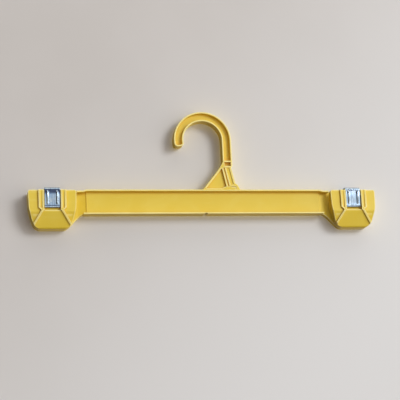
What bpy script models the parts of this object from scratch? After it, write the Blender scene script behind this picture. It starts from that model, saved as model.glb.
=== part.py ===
"""Clip hanger: a one-piece moulded hook, neck and bar with a pinch clip at each end.

Metres, Z up, front towards -Y. The origin is the point of the hook that rests on a rod.
Each clip is a fixed rear jaw that belongs to the body, a loose front jaw that rocks on it,
and a U of flat spring steel that straddles the tops of both.
"""
import math

import bmesh
import bpy
from mathutils import Matrix, Vector

# Whole hanger
LENGTH = 0.300
GAP = 0.0003
EDGE_EASE = 0.0002
INSIDE = 0.0010

# Hook: a flat bent bar with a raised rim round a recessed web
HOOK_INNER_RADIUS = 0.0168
HOOK_WIDTH = 0.0082
HOOK_DEPTH = 0.0090
HOOK_RIM = 0.0013
HOOK_WEB = 0.0022
HOOK_TIP_TURN = math.radians(15.5)
HOOK_TIP_ROUND = 0.0030
HOOK_TIP_SOFTEN = 0.7
SHAFT_DROP = 0.0182
ARC_STEPS = 30

# Neck, measured from the shaft and from the bar's top
NECK_RIB = 0.0013
NECK_WAIST_DROP = 0.0010
NECK_WAIST = 0.0012
NECK_LEFT_KNEE = (0.0140, 0.0194)
NECK_LEFT_FOOT = -0.0018
NECK_RIGHT_KNEE = (0.0269, 0.0053)
NECK_RIGHT_STEP = (0.0286, 0.0046)
NECK_RIGHT_FOOT = 0.0310
NECK_EDGE = 0.0016
STAY_TOP = (0.0162, 0.0187)
STAY_FOOT = (0.0196, 0.0223)
STAY_WIDTH = 0.0012
POCKET_DROP = 0.0035
POCKET_DEPTH = 0.0030
TRIANGLE_DEPTH = 0.0020
SLOT_DEPTH = 0.0011
PANEL_DEPTH = 0.0007
TRIANGLE_FLOOR = 0.0010
SEAT_CORNER = (0.0166, 0.0020)
SEAT_SLANT = 0.0014
SEAT_HEIGHT = 0.0028
SEAT_GROOVE = (0.0232, 0.0275)
SEAT_GROOVE_WIDTH = 0.0005
PANEL_FOOT_RISE = 0.0009
PANEL_FOOT_SLANT = 0.0012

# Bar: an I section
BAR_TOP = 0.0606
BAR_HEIGHT = 0.0211
BAR_DEPTH = 0.0100
BAR_WEB = 0.0018
BAR_TOP_FLANGE = 0.0014
BAR_BOTTOM_FLANGE = 0.0013
NOTCH_WIDTH = 0.0022
NOTCH_DEPTH = 0.0008
NOTCH_SLANT = (0.0008, 0.0004)

# Bar's ends, each measured back from the clip's inner edge
STEP_BEFORE_CLIP = 0.0090
FLANGE_BEFORE_CLIP = 0.0058
SWEEP_BEFORE_CLIP = 0.0065
SLOPE_BEFORE_CLIP = 0.0015
STEP_RUN = 0.0008
STEP_DEPTH = 0.0008
WEB_RUNS_IN = 1.5
FLANGE_RUN = 0.0035
END_FLANGE_DROP = 0.0009
SWEEP_STEPS = 8
SWEEP_EVEN = 0.25

# Clip, seen from the front; its side is given in shares of its half width and height
CLIP_HALF_WIDTH = 0.0200
CLIP_TOP = 0.0616
CLIP_HEIGHT = 0.0323
CLIP_CORNER = 0.0018
CLIP_SIDE = ((0.985, 0.370), (0.965, 0.500), (0.900, 0.666), (0.815, 0.842), (0.685, 0.955))
CLIP_FOOT_HALF = 0.0100
CREASE_DROP = 0.0186
CHANNEL_HALF_WIDTH = 0.0069
CHANNEL_DROP = 0.0174
RIB_WIDTH = 0.0046
RIB_BEND_DROP = 0.0152
RIB_TOE = (0.0086, 0.0180)
RIB_GROOVE = 0.0017
RIB_GROOVE_DEPTH = 0.0006
RIB_GROOVE_RISE = 0.0016
DIAGONAL_WIDTH = 0.0016
DIAGONAL_HEAD = (0.0082, 0.0177)
DIAGONAL_FOOT = (0.0154, 0.0290)
PANEL_FOOT_SPREAD = 0.0035

# Clip, seen from the side
MOUTH = 0.0012
JAW_FRONT = 0.0098
PAD_RECESS = 0.0015
PANEL_RECESS = 0.0012
PAD_LEAN = 0.0006
FOOT_SETBACK = 0.0052
FOOT_BEVEL = 0.0015
FOOT_BEVEL_SHARE = 0.3
WALL = 0.0018
SKIRT = 0.0016
CHANNEL_SINK = 0.0031
LIP_HEIGHT = 0.0034
TEETH = 3
TOOTH_DEPTH = 0.0004
TOOTH_SHARES = (0.25, 0.55, 0.90)
CLOTH_ROOM = 0.0012
REAR_PLATE = 0.0020
REAR_DEPTH = 0.0066

# Rocking of the front jaw
PIVOT_DROP = 0.0095
NOSE_RADIUS = 0.0010
NOSE_WEB = 0.0020
NOSE_FLANK = 0.0015
SWING_ROOM = math.radians(21.0)
KEEPER = 0.0007
KEEPER_SHARES = (0.2, 0.8, 1.8)
KEEPER_END = 0.0056

# Spring clip
SPRING_WIDTH = 0.0130
SPRING_STEEL = 0.0006
SPRING_RISE = 0.0024
SPRING_BEND = 0.0030
SPRING_FOOT_DROP = 0.0153
SPRING_HEEL = 0.0014
SPRING_FLARE = 0.0009
SPRING_BOW = 0.0005
BEAD_OFFSET = 0.0039
BEAD_RADIUS = 0.00055
BEAD_RISE = 0.00035
BEAD_END_ROUND = 0.6
BEAD_INSET = 0.0010

# Places that follow from the dimensions
CLIP_CENTRE = LENGTH / 2 - CLIP_HALF_WIDTH
CLIP_EDGE = CLIP_CENTRE - CLIP_HALF_WIDTH
CLIP_BOTTOM = CLIP_TOP + CLIP_HEIGHT
CREASE = CLIP_TOP + CREASE_DROP
PIVOT_Z = -(CLIP_TOP + PIVOT_DROP)
PIVOT_Y = MOUTH - GAP - NOSE_RADIUS
CHANNEL_FOOT = CLIP_TOP + CHANNEL_DROP
CHANNEL_FLOOR = -JAW_FRONT + CHANNEL_SINK
SHAFT_LEFT = HOOK_INNER_RADIUS
SHAFT_RIGHT = HOOK_INNER_RADIUS + HOOK_WIDTH
SHAFT_FOOT = -(HOOK_INNER_RADIUS + SHAFT_DROP)
STAY_HEAD = SHAFT_FOOT - 2 * NECK_RIB - POCKET_DROP
BAR_BOTTOM = BAR_TOP + BAR_HEIGHT
STEP_START = CLIP_EDGE - STEP_BEFORE_CLIP
STEP_LEVEL = STEP_DEPTH - BAR_WEB / 2
FLANGE_MIDDLE = -(BAR_TOP + END_FLANGE_DROP + BAR_TOP_FLANGE / 2)
FLANGE_END = CLIP_EDGE - 2 * GAP

PLASTIC = (0.74, 0.52, 0.06)
STEEL = (0.42, 0.50, 0.58)

SHARPEST = 0.3
FRONT_VIEW = Matrix(((1, 0, 0), (0, 0, -1), (0, 1, 0))).to_4x4()
SIDE_VIEW = Matrix(((0, 0, 1), (1, 0, 0), (0, 1, 0))).to_4x4()
PLAN_VIEW = Matrix.Identity(4)


def clear_scene():
    for item in list(bpy.data.objects):
        bpy.data.objects.remove(item)


def new_collection(name):
    group = bpy.data.collections.new(name)
    bpy.context.scene.collection.children.link(group)
    return group


def new_material(name, colour, roughness, metallic):
    made = bpy.data.materials.new(name)
    made.use_nodes = True
    shader = made.node_tree.nodes["Principled BSDF"]
    shader.inputs["Base Color"].default_value = (*colour, 1.0)
    shader.inputs["Roughness"].default_value = roughness
    shader.inputs["Metallic"].default_value = metallic
    return made


def prism(name, outline, low, high, view, group):
    """A flat outline given thickness from low to high along the view's own line of sight."""
    curve = bpy.data.curves.new(name, "CURVE")
    curve.dimensions = "2D"
    curve.fill_mode = "BOTH"
    curve.extrude = (high - low) / 2
    spline = curve.splines.new("POLY")
    spline.points.add(len(outline) - 1)
    for point, (across, up) in zip(spline.points, outline):
        point.co = (across, up, 0.0, 1.0)
    spline.use_cyclic_u = True
    guide = bpy.data.objects.new(name + "_outline", curve)
    group.objects.link(guide)
    bpy.context.view_layer.update()
    flat = guide.evaluated_get(bpy.context.evaluated_depsgraph_get())
    mesh = bpy.data.meshes.new_from_object(flat)
    bpy.data.objects.remove(guide)
    middle = (low + high) / 2
    depth_sign = -1.0 if view is FRONT_VIEW else 1.0
    mesh.transform(view @ Matrix.Translation((0, 0, depth_sign * middle)))
    merge(mesh)
    solid = bpy.data.objects.new(name, mesh)
    group.objects.link(solid)
    return solid


def merge(mesh):
    """Welds the caps of a filled outline and makes each cap one face."""
    shape = bmesh.new()
    shape.from_mesh(mesh)
    bmesh.ops.remove_doubles(shape, verts=shape.verts, dist=0.000001)
    bmesh.ops.dissolve_limit(shape, angle_limit=0.001, verts=[], edges=shape.edges)
    bmesh.ops.recalc_face_normals(shape, faces=shape.faces)
    shape.to_mesh(mesh)
    shape.free()
    mesh.shade_flat()


def as_tool(solid):
    solid.hide_render = True
    solid.display_type = "WIRE"
    return solid


def combine(target, tool, operation):
    step = target.modifiers.new(operation.lower() + "_" + tool.name, "BOOLEAN")
    step.operation = operation
    step.solver = "EXACT"
    step.object = as_tool(tool)
    return target


def join(target, *tools):
    for tool in tools:
        combine(target, tool, "UNION")
    return target


def cut(target, *tools):
    for tool in tools:
        combine(target, tool, "DIFFERENCE")
    return target


def keep_within(target, tool):
    return combine(target, tool, "INTERSECT")


def ease_edges(solid, radius, angle):
    bevel = solid.modifiers.new("eased_edges", "BEVEL")
    bevel.width = radius
    bevel.segments = 1
    bevel.limit_method = "ANGLE"
    bevel.angle_limit = angle
    bevel.use_clamp_overlap = True
    bevel.harden_normals = False
    return solid


def arc(centre, radius, start, end, steps):
    """Points on a circle from the angle start to the angle end."""
    points = []
    for step in range(steps + 1):
        angle = start + (end - start) * step / max(steps, 1)
        points.append((centre[0] + radius * math.cos(angle), centre[1] + radius * math.sin(angle)))
    return points


def inset(outline, distance):
    """The outline moved inwards by a distance, for an outline that runs anticlockwise."""
    drawn_in = []
    count = len(outline)
    for index in range(count):
        before = Vector(outline[index - 1])
        here = Vector(outline[index])
        after = Vector(outline[(index + 1) % count])
        first = (here - before).normalized()
        second = (after - here).normalized()
        first_in = Vector((-first.y, first.x))
        second_in = Vector((-second.y, second.x))
        mitre = (first_in + second_in).normalized()
        reach = distance / max(mitre.dot(first_in), SHARPEST)
        drawn_in.append(tuple(here + mitre * reach))
    return drawn_in


def mirrored(outline):
    return [(-across, up) for across, up in reversed(outline)]


def moved(outline, across):
    return [(point[0] + across, point[1]) for point in outline]


def strip(start, end, width):
    """A straight band between two points."""
    along = (Vector(end) - Vector(start)).normalized()
    side = Vector((-along.y, along.x)) * width / 2
    corners = (Vector(start) - side, Vector(end) - side, Vector(end) + side, Vector(start) + side)
    return [tuple(corner) for corner in corners]


def box(left, right, low, high):
    return [(left, low), (right, low), (right, high), (left, high)]


def hook_outline(margin, foot):
    """The bent band of the hook with its straight shaft, drawn in by a margin."""
    centre = (0.0, -HOOK_INNER_RADIUS)
    outer = HOOK_INNER_RADIUS + HOOK_WIDTH - margin
    inner = HOOK_INNER_RADIUS + margin
    tip = math.pi + HOOK_TIP_TURN - 2 * margin / (outer + inner)
    rounding = HOOK_TIP_ROUND - margin * HOOK_TIP_SOFTEN
    points = [(outer, foot)]
    points += arc(centre, outer, 0.0, tip - rounding / outer, ARC_STEPS)
    for edge, sign, steps in ((outer, -1, range(1, 5)), (inner, 1, range(4, 0, -1))):
        for step in steps:
            bend = math.pi / 2 * step / 4
            radius = edge + sign * rounding * (1 - math.cos(bend))
            turn = tip - rounding / edge * (1 - math.sin(bend))
            points += arc(centre, radius, turn, turn, 0)
    points += arc(centre, inner, tip - rounding / inner, 0.0, ARC_STEPS)
    points.append((inner, foot))
    return points


def above_bar(place):
    """A neck point, given from the bar's top, as a place in the front view."""
    return Vector((place[0], -BAR_TOP + place[1]))


def neck_outline():
    waist = STAY_HEAD + NECK_RIB
    return [
        (SHAFT_LEFT, SHAFT_FOOT + INSIDE),
        (SHAFT_LEFT, SHAFT_FOOT - NECK_WAIST_DROP),
        above_bar(NECK_LEFT_KNEE),
        (NECK_LEFT_FOOT, -BAR_TOP),
        (NECK_LEFT_FOOT, -BAR_TOP - INSIDE),
        (NECK_RIGHT_FOOT, -BAR_TOP - INSIDE),
        (NECK_RIGHT_FOOT, -BAR_TOP),
        above_bar(NECK_RIGHT_STEP),
        above_bar(NECK_RIGHT_KNEE),
        (SHAFT_RIGHT - NECK_WAIST, waist - NECK_RIB),
        (SHAFT_RIGHT, waist),
        (SHAFT_RIGHT, SHAFT_FOOT + INSIDE),
    ]


def across_at(start, end, height):
    """The point at a height on the line through two points."""
    share = (height - start[1]) / (end[1] - start[1])
    return start[0] + (end[0] - start[0]) * share, height


def crossing(first, second):
    """Where the lines through two pairs of points meet."""
    start, end = Vector(first[0]), Vector(first[1])
    other = Vector(second[0])
    along, beside = end - start, Vector(second[1]) - other
    share = (other - start).cross(beside) / along.cross(beside)
    return tuple(start + along * share)


def stay_edge(index, side):
    """One edge of a slanted stay, from its head to its foot; side is -1 for left, 1 for right."""
    offset = side * STAY_WIDTH / 2
    head = (STAY_TOP[index] + offset, STAY_HEAD)
    return head, (STAY_FOOT[index] + offset, -BAR_TOP + SEAT_HEIGHT)


def inner_edge(start, end):
    """The inside of a neck rib whose outer edge runs up from start to end, seen from the left."""
    along = (end - start).normalized()
    inward = Vector((along.y, -along.x)) * NECK_EDGE
    return tuple(start + inward), tuple(end + inward)


def triangle_pocket():
    left_edge = inner_edge(above_bar((NECK_LEFT_FOOT, 0.0)), above_bar(NECK_LEFT_KNEE))
    stay = stay_edge(0, -1)
    seat = above_bar(SEAT_CORNER)
    return [
        crossing(left_edge, stay),
        across_at(*left_edge, -BAR_TOP + TRIANGLE_FLOOR),
        (seat.x - SEAT_SLANT, -BAR_TOP + TRIANGLE_FLOOR),
        tuple(seat),
        stay[1],
    ]


def slot_pocket():
    left, right = stay_edge(0, 1), stay_edge(1, -1)
    return [left[0], left[1], right[1], right[0]]


def panel_pocket():
    head, foot = stay_edge(1, 1)
    right = (SHAFT_RIGHT - NECK_WAIST - NECK_EDGE, STAY_HEAD)
    right_foot = (NECK_RIGHT_KNEE[0] - NECK_EDGE, -BAR_TOP + NECK_RIGHT_KNEE[1])
    low = -BAR_TOP + SEAT_HEIGHT + PANEL_FOOT_RISE
    low_right = across_at(right, right_foot, low + PANEL_FOOT_SLANT)
    return [head, across_at(head, foot, low), low_right, right]


def seat_groove():
    """The thin groove over the seat at the neck's foot, turned down at its right end."""
    left, right = SEAT_GROOVE
    top = -BAR_TOP + SEAT_HEIGHT
    under = top - SEAT_GROOVE_WIDTH
    low = -BAR_TOP + SEAT_GROOVE_WIDTH
    inner = right - SEAT_GROOVE_WIDTH
    return [(left, top), (left, under), (inner, under), (inner, low), (right, low), (right, top)]


def neck_pockets():
    """The recesses of the neck, each with its depth."""
    low = SHAFT_FOOT - NECK_RIB - POCKET_DROP
    small = box(SHAFT_LEFT + HOOK_RIM, SHAFT_RIGHT - HOOK_RIM, low, low + POCKET_DROP)
    return (
        (small, POCKET_DEPTH),
        (triangle_pocket(), TRIANGLE_DEPTH),
        (slot_pocket(), SLOT_DEPTH),
        (panel_pocket(), PANEL_DEPTH),
        (seat_groove(), SLOT_DEPTH),
    )


def both_ends(right):
    """A line given for the right end, run on from its mirror image at the left end."""
    return [(-across, up) for across, up in reversed(right)] + right


def top_flange_outline():
    """The top flange from clip to clip, a little lower beside the clips."""
    top = -BAR_TOP
    low_top = top - END_FLANGE_DROP
    upper = [(STEP_START, top), (STEP_START + FLANGE_RUN, low_top), (FLANGE_END, low_top)]
    lower = [(across, up - BAR_TOP_FLANGE) for across, up in upper]
    return both_ends(lower) + list(reversed(both_ends(upper)))


def bottom_flange_outline():
    half = BAR_BOTTOM_FLANGE / 2
    centre = (CLIP_EDGE - FLANGE_BEFORE_CLIP - half, -BAR_BOTTOM + half)
    right = arc(centre, half, -math.pi / 2, math.pi / 2, 4)
    return right + mirrored(right)


def web_plan():
    """The bar's web from above; each end slopes back into the plate of a rear jaw."""
    web = BAR_WEB / 2
    end = STEP_START + WEB_RUNS_IN * STEP_RUN
    front = [(STEP_START, -web), (end, WEB_RUNS_IN * STEP_DEPTH - web)]
    back = [(STEP_START, web), (end, web)]
    return both_ends(front) + list(reversed(both_ends(back)))


def rear_plan():
    """The right rear jaw from above: its face slopes back from the bar's step to the mouth."""
    slope_end = CLIP_EDGE - SLOPE_BEFORE_CLIP
    far = LENGTH / 2 + INSIDE
    back = REAR_DEPTH + INSIDE
    return [
        (STEP_START, STEP_LEVEL),
        (STEP_START + STEP_RUN, STEP_LEVEL),
        (slope_end, MOUTH),
        (far, MOUTH),
        (far, back),
        (STEP_START, back),
    ]


def clip_side(corner):
    """Right half of a clip's outline, from its top corner down to its foot."""
    half = CLIP_HALF_WIDTH
    top = -CLIP_TOP
    points = [(half, top)]
    if corner:
        points = arc((half - corner, top - corner), corner, math.pi / 2, 0.0, 3)
    points += [(half * across, top - CLIP_HEIGHT * down) for across, down in CLIP_SIDE]
    points.append((CLIP_FOOT_HALF, -CLIP_BOTTOM))
    return points


def jaw_outline(corner):
    """The shield shape of a jaw, anticlockwise, centred on the clip."""
    right = list(reversed(clip_side(corner)))
    return right + mirrored(right)


def rear_outline(corner):
    """The rear jaw of the right clip, with the curve that sweeps down from the bar."""
    outer = moved(list(reversed(clip_side(corner))), CLIP_CENTRE)
    left = STEP_START + STEP_RUN / 2
    inner = FLANGE_END - GAP
    sweep_top = -BAR_BOTTOM + BAR_BOTTOM_FLANGE / 2
    sweep_start = (CLIP_EDGE - SWEEP_BEFORE_CLIP, sweep_top)
    top = [(inner, -CLIP_TOP), (inner, FLANGE_MIDDLE), (left, FLANGE_MIDDLE), (left, sweep_top)]
    return outer + top + sweep_curve(sweep_start, (CLIP_CENTRE - CLIP_FOOT_HALF, -CLIP_BOTTOM))


def sweep_curve(start, end):
    """A soft S from the bar's lower edge to the clip's foot."""
    width = end[0] - start[0]
    height = end[1] - start[1]
    points = []
    for step in range(SWEEP_STEPS + 1):
        share = step / SWEEP_STEPS
        smooth = share * share * (3 - 2 * share)
        down = SWEEP_EVEN * share + (1 - SWEEP_EVEN) * smooth
        points.append((start[0] + width * share, start[1] + height * down))
    return points


def front_surface(recess, drop):
    """Depth of the front jaw's outer face at a drop below the clip's top."""
    if drop <= CREASE_DROP:
        return -JAW_FRONT + PAD_LEAN * (1 - drop / CREASE_DROP) + recess
    share = (drop - CREASE_DROP) / (CLIP_HEIGHT - CREASE_DROP)
    return -JAW_FRONT + FOOT_SETBACK * share + recess


def face_line(recess):
    """The outer face as a line from the top to the bevelled foot."""
    foot = front_surface(recess, CLIP_HEIGHT)
    return [
        (front_surface(recess, 0.0), -CLIP_TOP),
        (front_surface(recess, CREASE_DROP), -CREASE),
        (foot - FOOT_BEVEL * FOOT_BEVEL_SHARE, -CLIP_BOTTOM + FOOT_BEVEL),
        (foot + FOOT_BEVEL, -CLIP_BOTTOM),
    ]


def mouth_line():
    """The inner edge of the front jaw: teeth, cloth room, nose, and the slope for rocking."""
    lip = MOUTH - GAP
    pitch = LIP_HEIGHT / TEETH
    land_start, land_end, valley = TOOTH_SHARES
    points = []
    for tooth in range(TEETH):
        low = -CLIP_BOTTOM + tooth * pitch
        points.append((lip, low + land_start * pitch if tooth else low))
        points.append((lip, low + land_end * pitch))
        points.append((lip - TOOTH_DEPTH, low + valley * pitch))
    shoulder = -CLIP_BOTTOM + LIP_HEIGHT
    inner = lip - CLOTH_ROOM
    points.append((inner, shoulder + CLOTH_ROOM))
    points.append((inner, PIVOT_Z - NOSE_FLANK))
    points += arc((PIVOT_Y, PIVOT_Z), NOSE_RADIUS, -math.pi / 2, math.pi / 2 - SWING_ROOM, 6)
    top_y = PIVOT_Y + NOSE_RADIUS - (PIVOT_DROP + NOSE_RADIUS) * math.tan(SWING_ROOM)
    points.append((top_y, -CLIP_TOP))
    return points


def jaw_profile(recess):
    """Side view of the front jaw, anticlockwise as seen with the front to the left."""
    return face_line(recess) + mouth_line()


def plate_profile(recess, thickness):
    """A layer that follows the outer face."""
    outer = face_line(recess)[:3]
    back = [(across + thickness, up) for across, up in reversed(outer)]
    return outer + back


def rib_outlines():
    """The ribs on the right half of the front jaw."""
    inner = CHANNEL_HALF_WIDTH
    outer = inner + RIB_WIDTH
    top = -CLIP_TOP + INSIDE
    upright = [
        (inner, -CHANNEL_FOOT - GAP),
        (RIB_TOE[0], -CLIP_TOP - RIB_TOE[1]),
        (outer, -CLIP_TOP - RIB_BEND_DROP),
        (outer, top),
        (inner, top),
    ]
    head = Vector((DIAGONAL_HEAD[0], -CLIP_TOP - DIAGONAL_HEAD[1]))
    foot = Vector((DIAGONAL_FOOT[0], -CLIP_TOP - DIAGONAL_FOOT[1]))
    past = foot + (foot - head).normalized() * INSIDE
    return upright, strip(head, past, DIAGONAL_WIDTH)


def panel_outline():
    """The smooth panel between the diagonal ribs."""
    foot = (DIAGONAL_FOOT[0], -CLIP_TOP - DIAGONAL_FOOT[1])
    low = -CLIP_BOTTOM - INSIDE
    right = [(CLIP_FOOT_HALF + PANEL_FOOT_SPREAD, low), foot, (RIB_TOE[0], -CHANNEL_FOOT)]
    return right + mirrored(right)


def front_jaw(name, group, tools):
    """One loose jaw, made about X = 0."""
    reach = CLIP_HALF_WIDTH + INSIDE
    jaw = prism(name, jaw_profile(PAD_RECESS), -reach, reach, SIDE_VIEW, group)
    join(jaw, *jaw_raised_parts(name, tools, reach))
    shield = jaw_outline(CLIP_CORNER)
    depth = (-JAW_FRONT - INSIDE, MOUTH + INSIDE)
    keep_within(jaw, prism(name + "_shield", shield, *depth, FRONT_VIEW, tools))
    cut(jaw, *jaw_hollows(name, tools))
    join(jaw, jaw_nose(name, tools))
    return cut(jaw, *jaw_channel(name, tools))


def jaw_raised_parts(name, tools, reach):
    depth = (-JAW_FRONT - INSIDE, MOUTH + INSIDE)
    made = []
    panel = prism(name + "_panel", panel_outline(), *depth, FRONT_VIEW, tools)
    layer = plate_profile(PANEL_RECESS, WALL)
    keep_within(panel, prism(name + "_panel_layer", layer, -reach, reach, SIDE_VIEW, tools))
    made.append(panel)
    for side, flip in (("right", False), ("left", True)):
        for kind, outline in zip(("upright", "diagonal"), rib_outlines()):
            shape = mirrored(outline) if flip else outline
            rib = prism(f"{name}_{side}_{kind}", shape, *depth, FRONT_VIEW, tools)
            layer = plate_profile(0.0, WALL)
            guide = prism(f"{name}_{side}_{kind}_layer", layer, -reach, reach, SIDE_VIEW, tools)
            made.append(keep_within(rib, guide))
    return made


def jaw_hollows(name, tools):
    """The hollow behind the jaw's wall, and a deeper one behind each finger pad."""
    floor = CHANNEL_FLOOR + WALL
    face = front_surface(PAD_RECESS, CREASE_DROP) + WALL
    low = -CLIP_BOTTOM + LIP_HEIGHT
    low_face = front_surface(PAD_RECESS, CLIP_HEIGHT - LIP_HEIGHT) + WALL
    high = -CLIP_TOP + INSIDE
    shape = open_topped(inset(jaw_outline(0.0), SKIRT), high)
    hollow = prism(name + "_hollow", shape, face, MOUTH + INSIDE, FRONT_VIEW, tools)
    side = [
        (floor, -CHANNEL_FOOT - WALL),
        (face, -CHANNEL_FOOT - WALL - INSIDE),
        (low_face, low),
        (MOUTH + 2 * INSIDE, low),
        (MOUTH + 2 * INSIDE, high + INSIDE),
        (floor, high + INSIDE),
    ]
    reach = CLIP_HALF_WIDTH + INSIDE
    keep_within(hollow, prism(name + "_hollow_side", side, -reach, reach, SIDE_VIEW, tools))
    made = [hollow]
    inner_edge = CHANNEL_HALF_WIDTH + SKIRT
    outer_edge = CLIP_HALF_WIDTH * CLIP_SIDE[1][0] - SKIRT
    for side_name, sign in (("right", 1), ("left", -1)):
        ends = sorted((sign * inner_edge, sign * outer_edge))
        pad = box(*ends, -CREASE, high)
        deep = floor + INSIDE
        made.append(prism(f"{name}_{side_name}_pad_hollow", pad, face, deep, FRONT_VIEW, tools))
    return made


def open_topped(outline, high):
    """The outline with its two top corners carried up to a height."""
    top = max(up for _, up in outline)
    return [(across, high if up == top else up) for across, up in outline]


def jaw_nose(name, tools):
    """The cross rib whose rounded edge rocks on the rear jaw."""
    reach = CLIP_HALF_WIDTH - SKIRT / 2
    half = NOSE_WEB / 2
    root = CHANNEL_FLOOR + WALL / 2
    tip = arc((PIVOT_Y, PIVOT_Z), NOSE_RADIUS, -math.pi / 2, math.pi / 2, 8)
    web = [(root, PIVOT_Z + half), (root, PIVOT_Z - half)]
    return prism(name + "_nose", web + tip, -reach, reach, SIDE_VIEW, tools)


def jaw_channel(name, tools):
    """The channel for the spring's front leg, and a groove down each upright rib."""
    high = -CLIP_TOP + 2 * INSIDE
    front = -JAW_FRONT - 2 * INSIDE
    half = CHANNEL_HALF_WIDTH
    channel = box(-half, half, -CHANNEL_FOOT, high)
    made = [prism(name + "_channel", channel, front, CHANNEL_FLOOR, FRONT_VIEW, tools)]
    middle = half + RIB_WIDTH / 2
    low = -CHANNEL_FOOT + RIB_GROOVE_RISE
    groove = box(middle - RIB_GROOVE / 2, middle + RIB_GROOVE / 2, low, high)
    depth = -JAW_FRONT + PAD_LEAN / 2 + RIB_GROOVE_DEPTH
    for side_name, shape in (("right", groove), ("left", mirrored(groove))):
        made.append(prism(f"{name}_{side_name}_groove", shape, front, depth, FRONT_VIEW, tools))
    return made


def spring_line():
    """Centre line of the spring's strip from the rear leg's foot over the top to the front leg."""
    steel = SPRING_STEEL / 2
    top = -CLIP_TOP + SPRING_RISE - steel
    foot = -CLIP_TOP - SPRING_FOOT_DROP
    heel = foot + SPRING_HEEL
    rear = MOUTH + REAR_PLATE + GAP + steel
    front = CHANNEL_FLOOR - GAP - steel
    bend = SPRING_BEND
    rear_bow = rear + SPRING_BOW
    front_bow = front - SPRING_BOW
    waist = (top + heel) / 2
    line = [(rear + SPRING_FLARE, foot), (rear, heel), (rear_bow, waist)]
    line += arc((rear_bow - bend, top - bend), bend, 0.0, math.pi / 2, 5)
    line += arc((front_bow + bend, top - bend), bend, math.pi / 2, math.pi, 5)
    line += [(front_bow, waist), (front, heel), (front - SPRING_FLARE, foot)]
    return line


def thickened(line, thickness):
    """Outline of a strip of constant thickness along a line."""
    left, right = [], []
    for index, point in enumerate(line):
        here = Vector(point)
        before = Vector(line[max(index - 1, 0)])
        after = Vector(line[min(index + 1, len(line) - 1)])
        first = (here - before).normalized() if index else (after - here).normalized()
        second = (after - here).normalized() if index < len(line) - 1 else first
        side = (Vector((-first.y, first.x)) + Vector((-second.y, second.x))).normalized()
        reach = thickness / 2 / side.dot(Vector((-first.y, first.x)))
        left.append(tuple(here + side * reach))
        right.append(tuple(here - side * reach))
    return right + list(reversed(left))


def spring(name, group, tools):
    """One spring clip about X = 0, with two stamped beads down its front leg."""
    half = SPRING_WIDTH / 2
    strip_solid = prism(name, thickened(spring_line(), SPRING_STEEL), -half, half, SIDE_VIEW, group)
    front = CHANNEL_FLOOR - GAP - SPRING_STEEL - SPRING_BOW
    foot = -CLIP_TOP - SPRING_FOOT_DROP + SPRING_HEEL
    high = -CLIP_TOP + SPRING_RISE - SPRING_BEND
    for side_name, sign in (("right", 1), ("left", -1)):
        bead_length = high - foot - 2 * BEAD_INSET
        bpy.ops.mesh.primitive_cylinder_add(vertices=16, radius=BEAD_RADIUS, depth=bead_length)
        bead = bpy.context.active_object
        bead.name = f"{name}_{side_name}_bead"
        for owner in list(bead.users_collection):
            owner.objects.unlink(bead)
        tools.objects.link(bead)
        sink = BEAD_RADIUS - BEAD_RISE
        bead.data.transform(Matrix.Translation((sign * BEAD_OFFSET, front + sink, (high + foot) / 2)))
        bevel = bead.modifiers.new("round_ends", "BEVEL")
        bevel.width = BEAD_RADIUS * BEAD_END_ROUND
        bevel.segments = 2
        bevel.limit_method = "ANGLE"
        bevel.angle_limit = math.radians(60)
        join(strip_solid, bead)
    return strip_solid


def shift_x(solids, distance):
    for solid in solids:
        solid.data.transform(Matrix.Translation((distance, 0, 0)))


def body(group, tools):
    """The one-piece moulding: hook, neck, bar and the two rear jaws."""
    low = -BAR_BOTTOM + BAR_BOTTOM_FLANGE / 2
    high = -BAR_TOP - (END_FLANGE_DROP + BAR_TOP_FLANGE) / 2
    half = BAR_DEPTH / 2
    hanger = prism("hanger_body", web_plan(), low, high, PLAN_VIEW, group)
    join(hanger, prism("top_flange", top_flange_outline(), -half, half, FRONT_VIEW, tools))
    join(hanger, prism("bottom_flange", bottom_flange_outline(), -half, half, FRONT_VIEW, tools))
    join(hanger, hook_and_neck(tools))
    join(hanger, rear_jaw("right", False, tools), rear_jaw("left", True, tools))
    return cut(hanger, bar_notch(tools))


def hook_and_neck(tools):
    half = HOOK_DEPTH / 2
    web = HOOK_WEB / 2
    hook = prism("hook", hook_outline(0.0, SHAFT_FOOT), -half, half, FRONT_VIEW, tools)
    neck = prism("neck", neck_outline(), -half, half, FRONT_VIEW, tools)
    join(hook, neck)
    trough = hook_outline(HOOK_RIM, SHAFT_FOOT)
    for face, low, high in (("front", -half - INSIDE, -web), ("back", web, half + INSIDE)):
        cut(hook, prism(f"hook_trough_{face}", trough, low, high, FRONT_VIEW, tools))
    for number, (pocket, depth) in enumerate(neck_pockets()):
        ends = (("front", -half - INSIDE, depth - half), ("back", half - depth, half + INSIDE))
        for face, low, high in ends:
            cut(hook, prism(f"neck_pocket_{number}_{face}", pocket, low, high, FRONT_VIEW, tools))
    return hook


def bar_notch(tools):
    half = NOTCH_WIDTH / 2
    low = -BAR_BOTTOM - INSIDE
    high = -BAR_BOTTOM + NOTCH_DEPTH
    left_slant, right_slant = NOTCH_SLANT
    shape = [(-half - left_slant, low), (half + right_slant, low), (half, high), (-half, high)]
    return prism("bar_notch", shape, -BAR_DEPTH, BAR_DEPTH, FRONT_VIEW, tools)


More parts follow.
